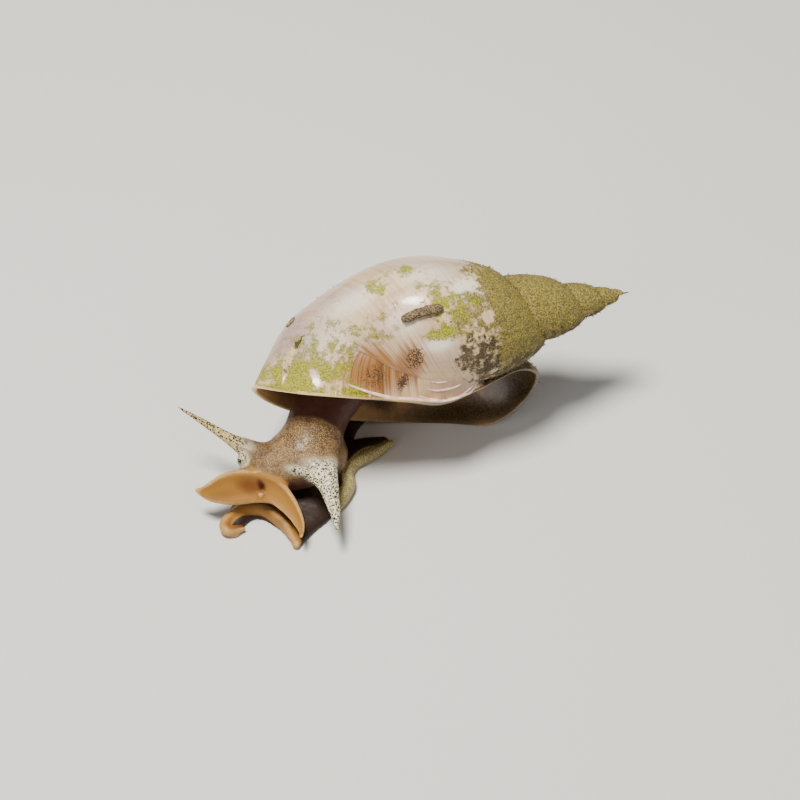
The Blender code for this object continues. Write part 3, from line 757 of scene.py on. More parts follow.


# Shell: streaked cream and lilac under stains and finely grained algae, with a painted highlight, and
# painted shade low down and in the mouth
def makeShellMaterial():
    look = shellFinish
    material, tree, shader = newMaterial("shell", IOR=1.5, Coat_Roughness=0.12)
    streaks = useGroup(tree, streakGroup, Onward=2.2, Round=150.0, Low=0.40, High=0.66)
    fine = useGroup(tree, streakGroup, Onward=3.5, Round=420.0, Low=0.42, High=0.62)
    growth = useGroup(tree, streakGroup, Onward=60.0, Round=4.0, Low=0.46, High=0.70)
    cloud = useGroup(tree, mottleGroup, Scale=190.0, Detail=3.0, Low=0.36, High=0.64)
    grain = useGroup(tree, mottleGroup, Scale=5200.0, Detail=5.0, Low=0.42, High=0.60)
    clump = useGroup(tree, mottleGroup, Scale=700.0, Detail=12.0, Roughness=0.78, Low=0.38, High=0.62)
    specks = useGroup(tree, dotsGroup, Scale=3000.0, Size=0.26, Softness=0.12, Share=0.42)

    def mask(name, factor):
        return times(tree, readMask(tree, name), factor)

    # A mask and a texture added up, so that the texture frays the stain's edge
    def coverage(name, texture, push=1.3, low=0.95, high=1.45):
        return rangeNode(tree, mathNode(tree, "ADD", mask(name, push), texture), low, high)

    def grained(dark, light):
        return mixColour(tree, grain["Mask"], look[dark], look[light])

    khaki, yellow, mudAndShade = (coverage(name, clump["Mask"]) for name in ("khaki", "yellow", "mudAndShade"))
    dark = coverage("dark", grain["Mask"])
    orange = coverage("orange", times(tree, streaks["Mask"], 0.5), 1.5, 0.4, 1.35)
    mudAndShadeColour = grained("mudAndShadeDark", "mudAndShade")
    # Inside of the mouth: orange-brown, turned near-black by the mud colour where painted shade falls
    inside = mixColour(tree, coverage("shade", clump["Mask"], 1.6), look["inner"], mudAndShadeColour)
    colour = mixColour(tree, cloud["Mask"], look["bone"], look["cream"])
    colour = washed(tree, colour, [
        (mask("lilac", 0.9), look["lilac"]),
        (times(tree, growth["Mask"], 0.22), look["horn"]),
        (times(tree, streaks["Mask"], 0.30), look["horn"]),
        (times(tree, fine["Mask"], 0.20), look["lilac"]),
        # Painted highlight: pale cream where the light shines on the shell
        (mask("bright", 0.9), look["highlight"]),
        (times(tree, orange, 0.9), look["orange"]),
        (times(tree, mask("orange", 0.65), fine["Mask"]), look["umber"]),
        (mask("pink", 0.85), look["pink"]),
        (times(tree, khaki, 0.93), grained("olive", "khaki")),
        (times(tree, yellow, 0.92), grained("green", "yellowGreen")),
        # Mud colour, over olive crust and over painted shade on the shell's low, dark side
        (times(tree, mudAndShade, 0.94), mudAndShadeColour),
        (times(tree, dark, 0.9), look["umber"]),
        (times(tree, specks["Mask"], mask("specked", 0.75)), look["umber"]),
        (readMask(tree, "lipEdge"), look["lipEdge"]),
        (readMask(tree, "inner"), inside)])
    tree.links.new(colour, shader.inputs["Base Color"])

    crust = mathNode(tree, "MAXIMUM", mathNode(tree, "MAXIMUM", khaki, yellow),
                     mathNode(tree, "MAXIMUM", mudAndShade, dark))
    tree.links.new(rangeNode(tree, crust, 0.0, 1.0, 0.28, 0.80), shader.inputs["Roughness"])
    tree.links.new(rangeNode(tree, crust, 0.0, 0.8, 0.45, 0.0), shader.inputs["Coat Weight"])
    lift = times(tree, grain["Height"], mathNode(tree, "ADD", crust, 0.06))
    ridges = mathNode(tree, "ADD", times(tree, streaks["Height"], 0.35),
                      times(tree, fine["Height"], 0.2))
    addBump(tree, shader, mathNode(tree, "ADD", times(tree, lift, 1.7), ridges), 0.55, 0.00022)
    return material


# The neck and foot colours are painted shade, the deeper ochre is ochre in painted shade, and the rim
# colour is a pale edge that is partly painted highlight
skinFinish = {
    "brown": (0.075, 0.036, 0.013), "tan": (0.15, 0.078, 0.030), "speckle": (0.46, 0.32, 0.15),
    "pale": (0.82, 0.74, 0.50), "paleWarm": (0.60, 0.46, 0.20), "dot": (0.006, 0.005, 0.006),
    "ochre": (0.33, 0.150, 0.021), "ochreInShade": (0.115, 0.028, 0.004), "rim": (0.66, 0.45, 0.19),
    "neck": (0.055, 0.0125, 0.003), "margin": (0.24, 0.19, 0.050), "foot": (0.020, 0.008, 0.003),
    "mouth": (0.055, 0.004, 0.002)}


# Skin: brown with dense cream specks, running into dotted cream tentacles and ochre lobes, with painted
# shade on the neck, under the head, on the foot and in hollows, and a painted highlight on the rims
def makeSkinMaterial():
    look = skinFinish
    material, tree, shader = newMaterial("skin", IOR=1.42, Coat_Weight=0.08, Coat_Roughness=0.12,
                                         Subsurface_Weight=0.08, Subsurface_Scale=0.0004,
                                         Specular_IOR_Level=0.35)
    shader.inputs["Subsurface Radius"].default_value = (1.0, 0.45, 0.25)
    speck = useGroup(tree, dotsGroup, Scale=6000.0, Size=0.50, Softness=0.20, Share=0.80)
    fineSpeck = useGroup(tree, dotsGroup, Scale=10500.0, Size=0.48, Softness=0.25, Share=0.6)
    dot = useGroup(tree, dotsGroup, Scale=4000.0, Size=0.50, Softness=0.10, Share=0.92)
    fineDot = useGroup(tree, dotsGroup, Scale=6400.0, Size=0.45, Softness=0.12, Share=0.7)
    cloud = useGroup(tree, mottleGroup, Scale=420.0, Detail=4.0, Low=0.36, High=0.62)
    grain = useGroup(tree, mottleGroup, Scale=5200.0, Detail=4.0, Low=0.4, High=0.6)

    specks = mathNode(tree, "MAXIMUM", speck["Mask"], fineSpeck["Mask"])
    dots = mathNode(tree, "MAXIMUM", dot["Mask"], fineDot["Mask"])
    cover = times(tree, specks, rangeNode(tree, cloud["Height"], 0.3, 0.7, 0.65, 1.0))
    ribbon = mixColour(tree, times(tree, specks, 0.5), look["margin"], look["pale"])
    cream = mixColour(tree, readMask(tree, "warm"), look["pale"], look["paleWarm"])
    # Ochre of lobes and foot rim, darker in painted shade in their hollows
    flesh = mixColour(tree, readMask(tree, "shadeInHollows"), look["ochre"], look["ochreInShade"])
    # Paler rims: their own pale specks and a painted highlight
    edge = times(tree, readMask(tree, "rim"), rangeNode(tree, specks, 0.0, 1.0, 0.45, 1.0))
    colour = mixColour(tree, cloud["Mask"], look["brown"], look["tan"])
    colour = washed(tree, colour, [
        # Pale specks, fuller where the light falls and thinner in painted shade
        (times(tree, cover, readMask(tree, "speckledAndLit")), look["speckle"]),
        # Painted shade: the shell's shadow on the neck and shade under the head
        (readMask(tree, "neck"), look["neck"]),
        # Foot painted near-black: painted shade under the head and the shell
        (readMask(tree, "foot"), look["foot"]),
        (readMask(tree, "margin"), ribbon),
        (readMask(tree, "pale"), cream),
        (times(tree, dots, readMask(tree, "dotted")), look["dot"]),
        (readMask(tree, "ochre"), flesh),
        (edge, look["rim"]),
        (readMask(tree, "mouth"), look["mouth"])])
    tree.links.new(colour, shader.inputs["Base Color"])
    rough = rangeNode(tree, grain["Height"], 0.35, 0.65, 0.42, 0.66)
    tree.links.new(rough, shader.inputs["Roughness"])
    addBump(tree, shader, mathNode(tree, "ADD", times(tree, specks, 0.3), grain["Height"]),
            0.35, 0.00012)
    return material


# Material of one colour mottled with another, with a bump of (strength, distance) where given
def makeMottled(name, first, second, texture, bump=None, **fixed):
    material, tree, shader = newMaterial(name, **fixed)
    mottle = useGroup(tree, mottleGroup, **texture)
    colour = mixColour(tree, mottle["Mask"], first, second)
    tree.links.new(colour, shader.inputs["Base Color"])
    if bump:
        addBump(tree, shader, mottle["Height"], *bump)
    return material


def makeEyeMaterial():
    return makeMottled("eye", (0.006, 0.005, 0.006), (0.020, 0.016, 0.018),
                       {"Scale": 9000.0, "Detail": 2.0, "Low": 0.4, "High": 0.65},
                       Roughness=0.18, IOR=1.45, Coat_Weight=0.4)


# Callus: thin nacreous ridges left by earlier edges of the shell's mouth
def makeCallusMaterial():
    return makeMottled("callus", (0.88, 0.72, 0.64), (0.72, 0.42, 0.36),
                       {"Scale": 900.0, "Detail": 3.0, "Low": 0.40, "High": 0.62},
                       Roughness=0.16, IOR=1.55, Coat_Weight=0.7, Coat_Roughness=0.08)


def makeCrustMaterial(name, light, dark, scale):
    return makeMottled(name, dark, light, {"Scale": scale, "Detail": 4.0, "Low": 0.42, "High": 0.60},
                       (0.6, 0.0002), Roughness=0.82)


# Painted places on the shell, read off the picture, each a soft oval. The bright spots are painted
# highlight, the shade spots painted shade, and the mud spots olive crust and painted shade together
shellStains = {
    "yellow": [(302, 374, 48, 24, -10, 1.0), (348, 393, 28, 9, 6, 0.9), (268, 374, 14, 13, -50, 0.75),
               (318, 346, 36, 24, -20, 0.6), (346, 352, 9, 13, 0, 0.7), (440, 334, 17, 9, -15, 1.0),
               (448, 302, 34, 20, 20, 0.72), (376, 290, 12, 10, 0, 0.6), (405, 272, 30, 7, -12, 0.52),
               (372, 330, 40, 20, -30, 0.40)],
    "gap": [(316, 379, 5, 13, -32, 1.0), (322, 340, 7, 20, -8, 0.7), (488, 317, 6, 6, 0, 1.0),
            (462, 286, 14, 6, 10, 0.8), (436, 346, 14, 6, -10, 0.8)],
    "lilac": [(292, 338, 34, 30, -40, 0.8), (330, 306, 34, 18, -32, 0.6), (420, 264, 50, 8, 0, 0.4),
              (452, 350, 16, 18, 0, 0.5)],
    "specked": [(320, 320, 70, 46, -35, 1.0), (400, 300, 50, 40, 0, 0.5)],
    "orange": [(372, 372, 36, 28, 0, 0.85), (408, 366, 20, 24, 20, 0.8), (366, 395, 28, 7, 10, 0.85),
               (570, 328, 14, 9, -15, 0.8), (540, 300, 12, 10, 0, 0.35)],
    "dark": [(415, 358, 8, 11, 25, 0.75), (403, 382, 4, 8, 25, 1.2), (374, 376, 12, 12, 0, 0.4)],
    # bright: painted highlight on the shell's lit top and bulges
    "bright": [(425, 276, 34, 14, 0, 0.55), (466, 288, 18, 12, 15, 0.8), (438, 345, 16, 7, -8, 0.9),
               (352, 302, 40, 12, -30, 0.65), (332, 340, 26, 26, -30, 0.45), (404, 322, 18, 16, 0, 0.5)],
    "pink": [(452, 389, 32, 13, -8, 0.75), (440, 372, 16, 12, -20, 0.4)],
    "khaki": [(468, 312, 34, 28, 0, 0.80), (510, 310, 36, 40, 0, 1.0), (520, 350, 30, 30, 0, 0.95),
              (424, 300, 12, 9, 0, 0.4)],
    # mud: olive crust, and painted shade along the shell's dark lower side
    "mudAndShade": [(478, 352, 32, 17, -38, 0.75), (522, 396, 32, 40, 0, 1.0), (490, 374, 20, 26, 0, 0.8),
            (556, 340, 16, 12, 0, 0.45), (500, 408, 60, 20, -8, 1.0), (430, 412, 60, 9, 4, 0.95)],
    "shade": [(470, 410, 95, 20, -6, 1.0), (380, 404, 24, 7, 8, 0.9), (520, 385, 40, 40, 0, 1.0)]}
spireCover = (18.0, 24.5)  # distance from the apex over which the algae thins out
lipBand = (0.006, 0.020)  # turns from the lip over which its pale edge fades

# Noises are (size in millimetres, seed), but the steps' size is in steps; heights are in millimetres
shellRelief = {
    "dents": (5.0, 11), "dentHigh": 0.12, "steps": (1.0, 12), "stepsInTurn": 46, "stepWander": 0.05,
    "stepHigh": 0.055, "crust": (0.55, 13), "crustHigh": 0.07, "proud": 0.12, "lipEase": 0.02,
    "rimSteps": 8, "rimBulge": 0.26, "wallSteps": 43, "tipShare": 0.3, "pillarAround": 24,
    "pillarRings": 20}


# Turns of the outside's rings, from the apex to the lip
def outerTurns():
    form = shellForm
    spireCount = int((form["whorls"] - 1.0) * form["spireSteps"])
    spire = np.linspace(form["whorls"], 1.0, spireCount, endpoint=False)
    return np.concatenate([spire, np.linspace(1.0, 0.0, form["lastTurnSteps"] + 1)])


# Quads of the shell's outside only, its tip among them
def outerQuads(quads):
    return quads[quads.max(axis=1) < (1 + len(outerTurns())) * shellForm["around"]]


# How far the algae of the spire covers a point
def spireAlgae(points):
    return 1 - easeBetween(fromApex(points), *spireCover)


# Outside of the shell: the swept outline, raised by broad dents, lip-parallel steps and a crust
def outerRings(turns):
    relief = shellRelief
    flat = shellRings(turns).reshape(-1, 3)
    turnGrid = np.repeat(turns[:, None], shellForm["around"], axis=1)
    size = shellForm["whorlGrowth"] ** -turns[:, None]

    def noise(places, key):
        return latticeNoise(places, *relief[key]).reshape(turnGrid.shape)

    dents = noise(flat, "dents") * relief["dentHigh"]
    grown = np.stack([turnGrid.ravel() * relief["stepsInTurn"], flat[:, 2] * relief["stepWander"],
                      np.zeros(len(flat))], axis=1)
    steps = noise(grown, "steps") * relief["stepHigh"] * np.clip(size * 1.5, 0, 1)
    raised = (dents + steps) * np.clip(size * 1.2, 0.15, 1) * easeBetween(turnGrid, 0.0, relief["lipEase"])
    overgrown = spireAlgae(flat).reshape(turnGrid.shape)
    raised += relief["crustHigh"] * overgrown * noise(flat, "crust") * np.clip(size * 2.5, 0.3, 1)
    return shellRings(turns, raised + relief["proud"])


# Outside, rounded rim and inside in one skin, with each point's turn, its kind (0 outside, 1 rim,
# 2 inside) and its place round its ring
def shellSkin():
    form, relief = shellForm, shellRelief
    turns, around, rimSteps = outerTurns(), form["around"], relief["rimSteps"]
    outer = outerRings(turns)
    wallTurns = np.linspace(0.0, form["hollowTurns"], relief["wallSteps"] + 1)[1:]
    ramp = np.minimum(1, wallTurns / form["wallRampTurns"])
    wall = form["lipWall"] + (form["wall"] - form["lipWall"]) * ramp
    rimInner = shellRings(0.0, np.array([[-form["lipWall"]]]))[0]
    bulge = unit(outer[-1].mean(axis=0) - outer[-6].mean(axis=0))
    rim = []
    for k in range(1, rimSteps):
        angle = math.pi * k / rimSteps
        rim.append(outer[-1] * (0.5 + 0.5 * math.cos(angle)) + rimInner * (0.5 - 0.5 * math.cos(angle))
                   + bulge * (relief["rimBulge"] * math.sin(angle)))
    tip = outer[0] * relief["tipShare"] + np.array(form["apex"]) * (1 - relief["tipShare"])
    rings = np.concatenate([tip[None], outer, rim, rimInner[None], shellRings(wallTurns, -wall[:, None])])
    ringTurns = np.concatenate([[form["whorls"]], turns, np.zeros(rimSteps), wallTurns])
    ringKinds = np.repeat([0.0, 1.0, 2.0], [1 + len(turns), rimSteps, len(wallTurns)])
    turnOf = np.concatenate([np.repeat(ringTurns, around), [form["whorls"], form["hollowTurns"]]])
    kindOf = np.concatenate([np.repeat(ringKinds, around), [0.0, 2.0]])
    aroundOf = np.concatenate([np.tile(np.arange(around) / around, len(rings)), [0.5, 0.5]])
    return closedLoft(rings), turnOf, kindOf, aroundOf


# Pillar round which the whorls wind: circles about the shell's axis
def pillarSkin():
    axis, faces, side = shellAxes()
    angles = np.linspace(0, 2 * math.pi, shellRelief["pillarAround"], endpoint=False)
    circle = np.cos(angles)[:, None] * faces + np.sin(angles)[:, None] * side
    rows = smoothPath(shellForm["pillar"], shellRelief["pillarRings"])
    return closedLoft(np.array([np.array(shellForm["apex"]) - axis * along + radius * circle
                                for along, radius in rows]))


# Masks of the shell: stains, painted highlight and painted shade where the picture shows them, and made-up
# cover where it doesn't
def shellPaint(points, quads, turnOf, kindOf):
    normals = pointNormals(points, quads)
    picture, back = pictureOf(points)
    outside = kindOf < 0.5
    facing = easeBetween(normals @ back, -0.05, 0.25) * outside
    hidden = (1 - facing) * outside
    masks = {key: spots(picture, rows) * facing for key, rows in shellStains.items()}
    clear = 1 - masks.pop("gap")
    cover = spireAlgae(points)
    patches = 0.75 * easeBetween(latticeNoise(points, 6.0, 21), 0.0, 0.55) * hidden
    # Faces turned down take the mud colour too: painted shade on the shell's underside
    below = easeBetween(-normals[:, 2], -0.35, 0.45)
    aged = 0.6 * hidden * easeBetween(latticeNoise(points, 7.0, 22), 0.2, 0.7)
    masks["khaki"] = np.maximum(masks["khaki"], np.maximum(cover, patches)) * outside * clear
    masks["mudAndShade"] = np.maximum(masks["mudAndShade"], 0.9 * below * np.maximum(cover, 0.6 * hidden)) * outside
    masks["yellow"] *= clear
    masks["orange"] = np.maximum(masks["orange"], aged)
    # Painted shade in the mouth and under the lip: the pale lip edge gives way to it, and the rim and
    # inside take the inner mask there
    shade = spots(picture, shellStains["shade"])
    inner = np.where(kindOf > 1.5, easeBetween(turnOf, 0.0, 0.05), 0.0)
    lipEdge = np.where(kindOf > 0.5, 1 - inner, 1 - easeBetween(turnOf, *lipBand)) * (1 - shade)
    masks = {key: values * (1 - lipEdge) for key, values in masks.items()}
    masks["shade"], masks["lipEdge"] = shade, lipEdge
    masks["inner"] = np.where(kindOf > 0.5, np.maximum(inner, shade), 0.0)
    return masks


def makeShell():
    (points, quads, caps), turnOf, kindOf, aroundOf = shellSkin()
    outside = kindOf < 0.5
    points[outside] = fillValley(points, outerQuads(quads))[outside]
    points = easeToFloor(points)
    masks = shellPaint(points, quads, turnOf, kindOf)
    pillarPoints, pillarQuads, pillarCaps = pillarSkin()
    count, more = len(points), len(pillarPoints)
    growth = np.vstack([np.stack([turnOf, aroundOf], axis=1), np.zeros((more, 2))])
    allMasks = {key: np.append(values, np.full(more, float(key == "inner")))
                for key, values in masks.items()}
    shell = addPiece("shellSurface", np.vstack([points, pillarPoints]),
                     [quads, caps, pillarQuads + count, pillarCaps + count],
                     makeShellMaterial(), allMasks, growth)
    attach(shell, "root")
    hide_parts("shell")
    return points, quads, masks


# Painted places on the skin, read off the picture, each a soft oval; the shadow and deep spots are painted
# shade, and the lit ones mark where the light falls on the dorsum. Then the lower edge of the shell's
# painted shadow on the neck
skinPlaces = {
    "mouth": [(261, 485, 3.2, 6.5, -28, 1.1)],
    "shadow": [(303, 488, 22, 12, -8, 1.0), (300, 500, 14, 14, 20, 1.0)],
    "pale": [(300, 471, 14, 5, 12, 0.95), (320, 482, 15, 13, 20, 1.0), (316, 466, 14, 8, 10, 0.6),
             (241, 456, 7, 8, 0, 0.8), (246, 444, 9, 6, 20, 0.5)],
    # deep: painted shade in the lobes' hollows, by the mouth and in the foot rim's curl
    "shadeInHollows": [(250, 486, 15, 9, 12, 0.8), (222, 496, 22, 6, -8, 0.35), (270, 511, 9, 6, 35, 0.6),
             (282, 520, 9, 6, 50, 0.7), (240, 525, 9, 4, -20, 0.8), (228, 494, 14, 5, -5, 0.3)],
    "lit": [(300, 440, 30, 20, 0, 1.0), (285, 455, 16, 12, 0, 0.6)]}
neckEdge = ((255, 262, 270, 285, 300, 320, 337, 345, 352), (446, 436, 428, 420, 417, 419, 428, 440, 456))


# Distances in millimetres within which a form's look is full and past which it ends
formEdges = {"rim": (0.05, 0.30), "tentacle": (0.1, 0.6), "tubercle": (0.05, 0.35), "foot": (0.05, 0.4),
             "low": (2.0, 2.6)}
mantleForm = {"turns": (0.26, 0.07), "rings": 40, "around": 96, "insideWall": 0.55, "endPower": 0.25,
              "narrowest": 0.55, "shade": 0.85}


# Flesh as one smoothed mesh whose faces look outward
def fleshSkin():
    points, faces = largestBody(*surfaceNet(*fleshField()))
    points = relax(points, faces, skinForm["smoothing"])
    if signedVolume(*(points[faces[:, k]] for k in range(3))) < 0:
        faces = faces[:, ::-1]
    return points, faces, pointNormals(points, faces)


# Mantle: the shell's last stretch, drawn in from its wall, as a second body in the same skin
def mantleSkin():
    form = mantleForm
    drawnIn = np.full((form["rings"], 1), shellForm["wall"] + form["insideWall"])
    rings = shellRings(np.linspace(*form["turns"], form["rings"]), -drawnIn, form["around"])
    ends = np.sin(np.linspace(0, math.pi, form["rings"])) ** form["endPower"]
    middle = rings.mean(axis=1, keepdims=True)
    rings = middle + (rings - middle) * np.maximum(ends, form["narrowest"])[:, None, None]
    points, quads, caps = closedLoft(rings)
    return easeToFloor(points), quads, caps


# Share of each form at a point: all of it within the inner distance, none past the outer one
def formShares(points):
    def share(distance, edge):
        return 1 - easeBetween(distance, *formEdges[edge])

    def near(edge, *names):
        return share(np.min([pathDistance(points, fleshPaths[name]) for name in names], axis=0), edge)

    x, y, z = points.T
    low, lobe = share(z, "low"), near("rim", "lobes")
    tubercle = share(np.minimum(*(ballDistance(points, *fleshBalls[key])
                                  for key in ("tubercleLeft", "tubercleRight"))), "tubercle")
    footRim = near("rim", "footRim") * (1 - lobe)
    ribbon = near("rim", "margin") * (1 - footRim)
    foot = near("foot", "pad", "rear", "cornerLeft", "cornerRight", "frontSheet") * low
    # Distance out along each tentacle from the head, which sets how pale it is
    outRight = easeBetween(-x * 0.9 + y * 0.4, 7.0, 9.4) * (z > 5.4)
    outLeft = easeBetween(-y + x * 0.5, 1.6, 4.2) * (x > -0.6) * (z > 3.6)
    return {
        "low": low, "lobe": lobe, "tubercle": tubercle, "footRim": footRim, "ribbon": ribbon,
        "foot": foot * (1 - footRim) * (1 - ribbon), "outRight": outRight, "head": (1 - lobe) * (1 - low),
        "tentacle": near("tentacle", "tentacleRight", "tentacleLeft") * np.maximum(outRight, outLeft)}


def makeSkin():
    points, faces, normals = fleshSkin()
    # How far each point stands out from a broadly smoothed copy: above zero on ridges, below zero in
    # hollows
    bend = np.sum((points - relax(points, faces, *skinForm["broad"])) * normals, axis=1)
    form = formShares(points)
    lobe, tubercle, tentacle, head = form["lobe"], form["tubercle"], form["tentacle"], form["head"]
    picture, back = pictureOf(points)
    seen = easeBetween(normals @ back, -0.25, 0.15)
    places = {key: spots(picture, rows) * seen for key, rows in skinPlaces.items()}
    pale = np.maximum(tentacle, np.maximum(places["pale"] * head, tubercle * 0.7 * head))

    lumps = latticeNoise(points, 0.42, 32)
    wrinkles = latticeNoise(points, 0.9, 31) + 0.6 * lumps + 2.4 * np.clip(lumps, 0, 1) * tubercle
    quiet = 1 - 0.75 * np.maximum(lobe, tentacle)
    points = points + normals * (skinForm["wrinkle"] * wrinkles * quiet)[:, None]
    points[:, 2] = np.maximum(points[:, 2], skinForm["floor"])

    lobeBack = easeBetween(-(normals @ unit(lobeFacing)), -0.1, 0.6)
    # Convex edges, paler: partly pale specks, partly painted highlight
    rimSpecksAndHighlight = easeBetween(bend, 0.025, 0.11)
    # Painted shadow of the shell on the neck: past the drawn edge where the skin is seen, past a slanting
    # plane elsewhere
    byPlace = easeBetween(points[:, 1] * 0.75 + points[:, 2] * 0.35 - points[:, 0] * 0.15, 6.4, 7.4)
    byLine = easeBetween(np.interp(picture[:, 0], *neckEdge) - picture[:, 1], -0.5, 3.0)
    neck = (byLine * seen + byPlace * (1 - seen)) * (1 - form["low"]) * head
    # Painted shade under the head, on faces turned down
    shadeUnderHead = easeBetween(-normals[:, 2], 0.0, 0.6) * (1 - form["low"])
    masks = {
        "pale": pale * (1 - places["shadow"] * (1 - tentacle)),
        "dotted": tentacle + places["pale"] * head * 0.8 + tubercle * 0.6 * head,
        # Specks fuller on the lit dorsum, thinner in painted shade under the head and on the neck
        "speckledAndLit": (0.62 + 0.38 * places["lit"]) * (1 - 0.6 * shadeUnderHead) * (1 - neck),
        # Painted shade: the shell's shadow on the neck, shade under the head and the shadow spots
        "neck": np.maximum(neck, np.maximum(0.8 * shadeUnderHead, places["shadow"]) * head),
        "warm": form["outRight"],
        # Foot painted as shade, apart from its rim and margin
        "foot": form["foot"],
        "margin": form["ribbon"],
        "ochre": np.maximum(lobe * (1 - 0.6 * lobeBack), form["footRim"]),
        # Painted shade: hollows of the skin, and the spots read off the picture
        "shadeInHollows": np.maximum(easeBetween(-bend, 0.0, 0.18) * 0.7, places["shadeInHollows"]),
        "rim": rimSpecksAndHighlight * np.maximum(lobe, form["footRim"]) * 0.9,
        "mouth": places["mouth"] * lobe}

    mantlePoints, mantleQuads, mantleCaps = mantleSkin()
    count, more = len(points), len(mantlePoints)
    # The mantle inside the shell takes the neck's painted shade
    masks = {key: np.append(values if key == "mouth" else np.clip(values, 0, 1),
                            np.full(more, mantleForm["shade"] if key == "neck" else 0.0))
             for key, values in masks.items()}
    skin = addPiece("skin", np.vstack([points, mantlePoints]),
                    [faces, mantleQuads + count, mantleCaps + count], makeSkinMaterial(), masks)
    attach(skin, "root")
    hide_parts("mantle", "neck", "head", "lobe_right", "lobe_left", "tentacle_right",
                "tentacle_left", "foot_front", "foot_middle", "foot_tail")
    return faces


# Ball whose surface is rings of latitude, closed by caps just short of its poles
def ballSurface(centre, radius, rings=28, around=40, pole=0.02):
    polar = np.linspace(pole, math.pi - pole, rings)
    angle = np.linspace(0, 2 * math.pi, around, endpoint=False)
    grid = np.stack([np.sin(polar)[:, None] * np.cos(angle), np.sin(polar)[:, None] * np.sin(angle),
                     np.cos(polar)[:, None] * np.ones(around)], axis=2)
    return closedLoft(np.array(centre) + grid * radius)


eyePlaces = {"eye_left": {"centre": (-1.0, -2.75, 7.1), "radius": 0.32},
             "eye_right": {"centre": (-8.9, -0.7, 6.8), "radius": 0.24}}


def makeEyes():
    material = makeEyeMaterial()
    for node, place in eyePlaces.items():
        points, quads, caps = ballSurface(place["centre"], place["radius"])
        eye = addPiece(node.replace("_", "") + "Ball", points, [quads, caps], material)
        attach(eye, "root")
        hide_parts(node)


# Where the line of sight through a place in the picture first meets the shell's outside. A place
# just off the shell is moved up the picture until it meets it
def sightPoint(tree, x, y, climb=18, grazing=0.05):
    back, up = Vector(eyeWay), Vector(upWay)
    eye = Vector(view["target"]) / mm + back * (view["distance"] / mm)
    across = Vector((1, 0, 0)) * ((x - halfImage) / focalLength)
    for lifted in range(climb):
        ray = (across + up * ((halfImage - y + lifted) / focalLength) - back).normalized()
        spot, normal, _, _ = tree.ray_cast(eye, ray)
        if spot is not None and normal.dot(back) > grazing:
            return np.array(spot), np.array(normal)
    return None


# Inner rows of a line drawn half-way to the mean of their neighbours
def relaxLine(rows, rounds):
    for _ in range(rounds):
        middle = (rows[:-2] + rows[2:]) / 2
        rows = np.vstack([rows[:1], 0.5 * rows[1:-1] + 0.5 * middle, rows[-1:]])
    return rows


# Line drawn in the picture laid on the shell: its places and their normals, both smoothed along it
def lineOnShell(tree, path, placeRounds, normalRounds):
    found = [hit for hit in (sightPoint(tree, x, y) for x, y in path) if hit]
    places = relaxLine(np.array([hit[0] for hit in found]), placeRounds)
    normals = relaxLine(np.array([hit[1] for hit in found]), normalRounds)
    return places, unitRows(normals)


# Tube along points on a surface: ovals square to the line, as high as a share of their widths
def ridgeAlong(places, normals, widths, high, around=10):
    ahead = unitRows(np.gradient(places, axis=0))
    side = unitRows(np.cross(ahead, normals))
    rise = np.cross(side, ahead)
    angle = np.linspace(0, 2 * math.pi, around, endpoint=False)
    rings = (places[:, None] + side[:, None] * (widths[:, None] * np.cos(angle))[..., None]
             + rise[:, None] * (widths[:, None] * high * np.sin(angle))[..., None])
    return closedLoft(rings)


callusLines = [
    {"width": 0.27, "path": [(347, 384), (361, 389.5), (377, 394.5), (400, 400), (420, 403), (440, 404.5),
                             (452, 403.5), (463, 400), (471, 392), (477, 382)]},
    {"width": 0.20, "path": [(419, 396), (431, 399.5), (443, 401), (455, 399), (467, 391), (475, 383)]},
    {"width": 0.15, "path": [(427, 389), (436, 390.5), (446, 389.5), (455, 387), (461, 384)]},
    {"width": 0.10, "path": [(430, 381.5), (438, 382.5), (447, 381.5)]}]
callusForm = {"samples": 64, "smoothing": (3, 6), "endPower": 0.45, "raised": 0.02, "high": 0.8}


def makeCallus(tree):
    form = callusForm
    pointSets, quadSets, capSets, count = [], [], [], 0
    for line in callusLines:
        path = smoothPath(line["path"], form["samples"])
        places, normals = lineOnShell(tree, path, *form["smoothing"])
        share = np.clip(np.linspace(0, 1, len(places)), 0.01, 0.99)
        widths = line["width"] * np.sin(math.pi * share) ** form["endPower"]
        points, quads, caps = ridgeAlong(places + normals * form["raised"], normals, widths, form["high"])
        pointSets.append(points)
        quadSets.append(quads + count)
        capSets.append(caps + count)
        count += len(points)
    callus = addPiece("callusRidges", np.vstack(pointSets), quadSets + capSets, makeCallusMaterial())
    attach(callus, "root")


siltRod = {"from": (402, 320), "to": (443, 308), "bow": 1.6, "radius": 0.58, "around": 28, "rings": 56,
           "smoothing": (12, 12), "bluntness": 8, "thinnest": 0.02, "raised": 0.55, "high": 0.85,
           "lumps": [(0.45, 41, 0.10), (0.22, 42, 0.06)]}


# Scrap of packed silt on the shell: a bent rod, lumpy all round and blunt at both ends
def makeSiltRod(tree):
    form = siltRod
    share = np.linspace(0, 1, form["rings"])
    x = form["from"][0] + (form["to"][0] - form["from"][0]) * share
    y = form["from"][1] + (form["to"][1] - form["from"][1]) * share - form["bow"] * np.sin(math.pi * share)
    places, normals = lineOnShell(tree, zip(x, y), *form["smoothing"])
    blunt = (1 - (2 * share - 1) ** form["bluntness"]) ** 0.5
    points, quads, caps = ridgeAlong(
        places + normals * (form["radius"] * form["raised"]), normals,
        form["radius"] * blunt + form["thinnest"], form["high"], form["around"])
    lumps = sum(latticeNoise(points, size, seed) * high for size, seed, high in form["lumps"])
    points = points + pointNormals(points, quads) * lumps[:, None]
    rod = addPiece("siltRod", points, [quads, caps],
                   makeCrustMaterial("silt", (0.26, 0.18, 0.085), (0.050, 0.032, 0.016), 5200.0))
    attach(rod, "root")


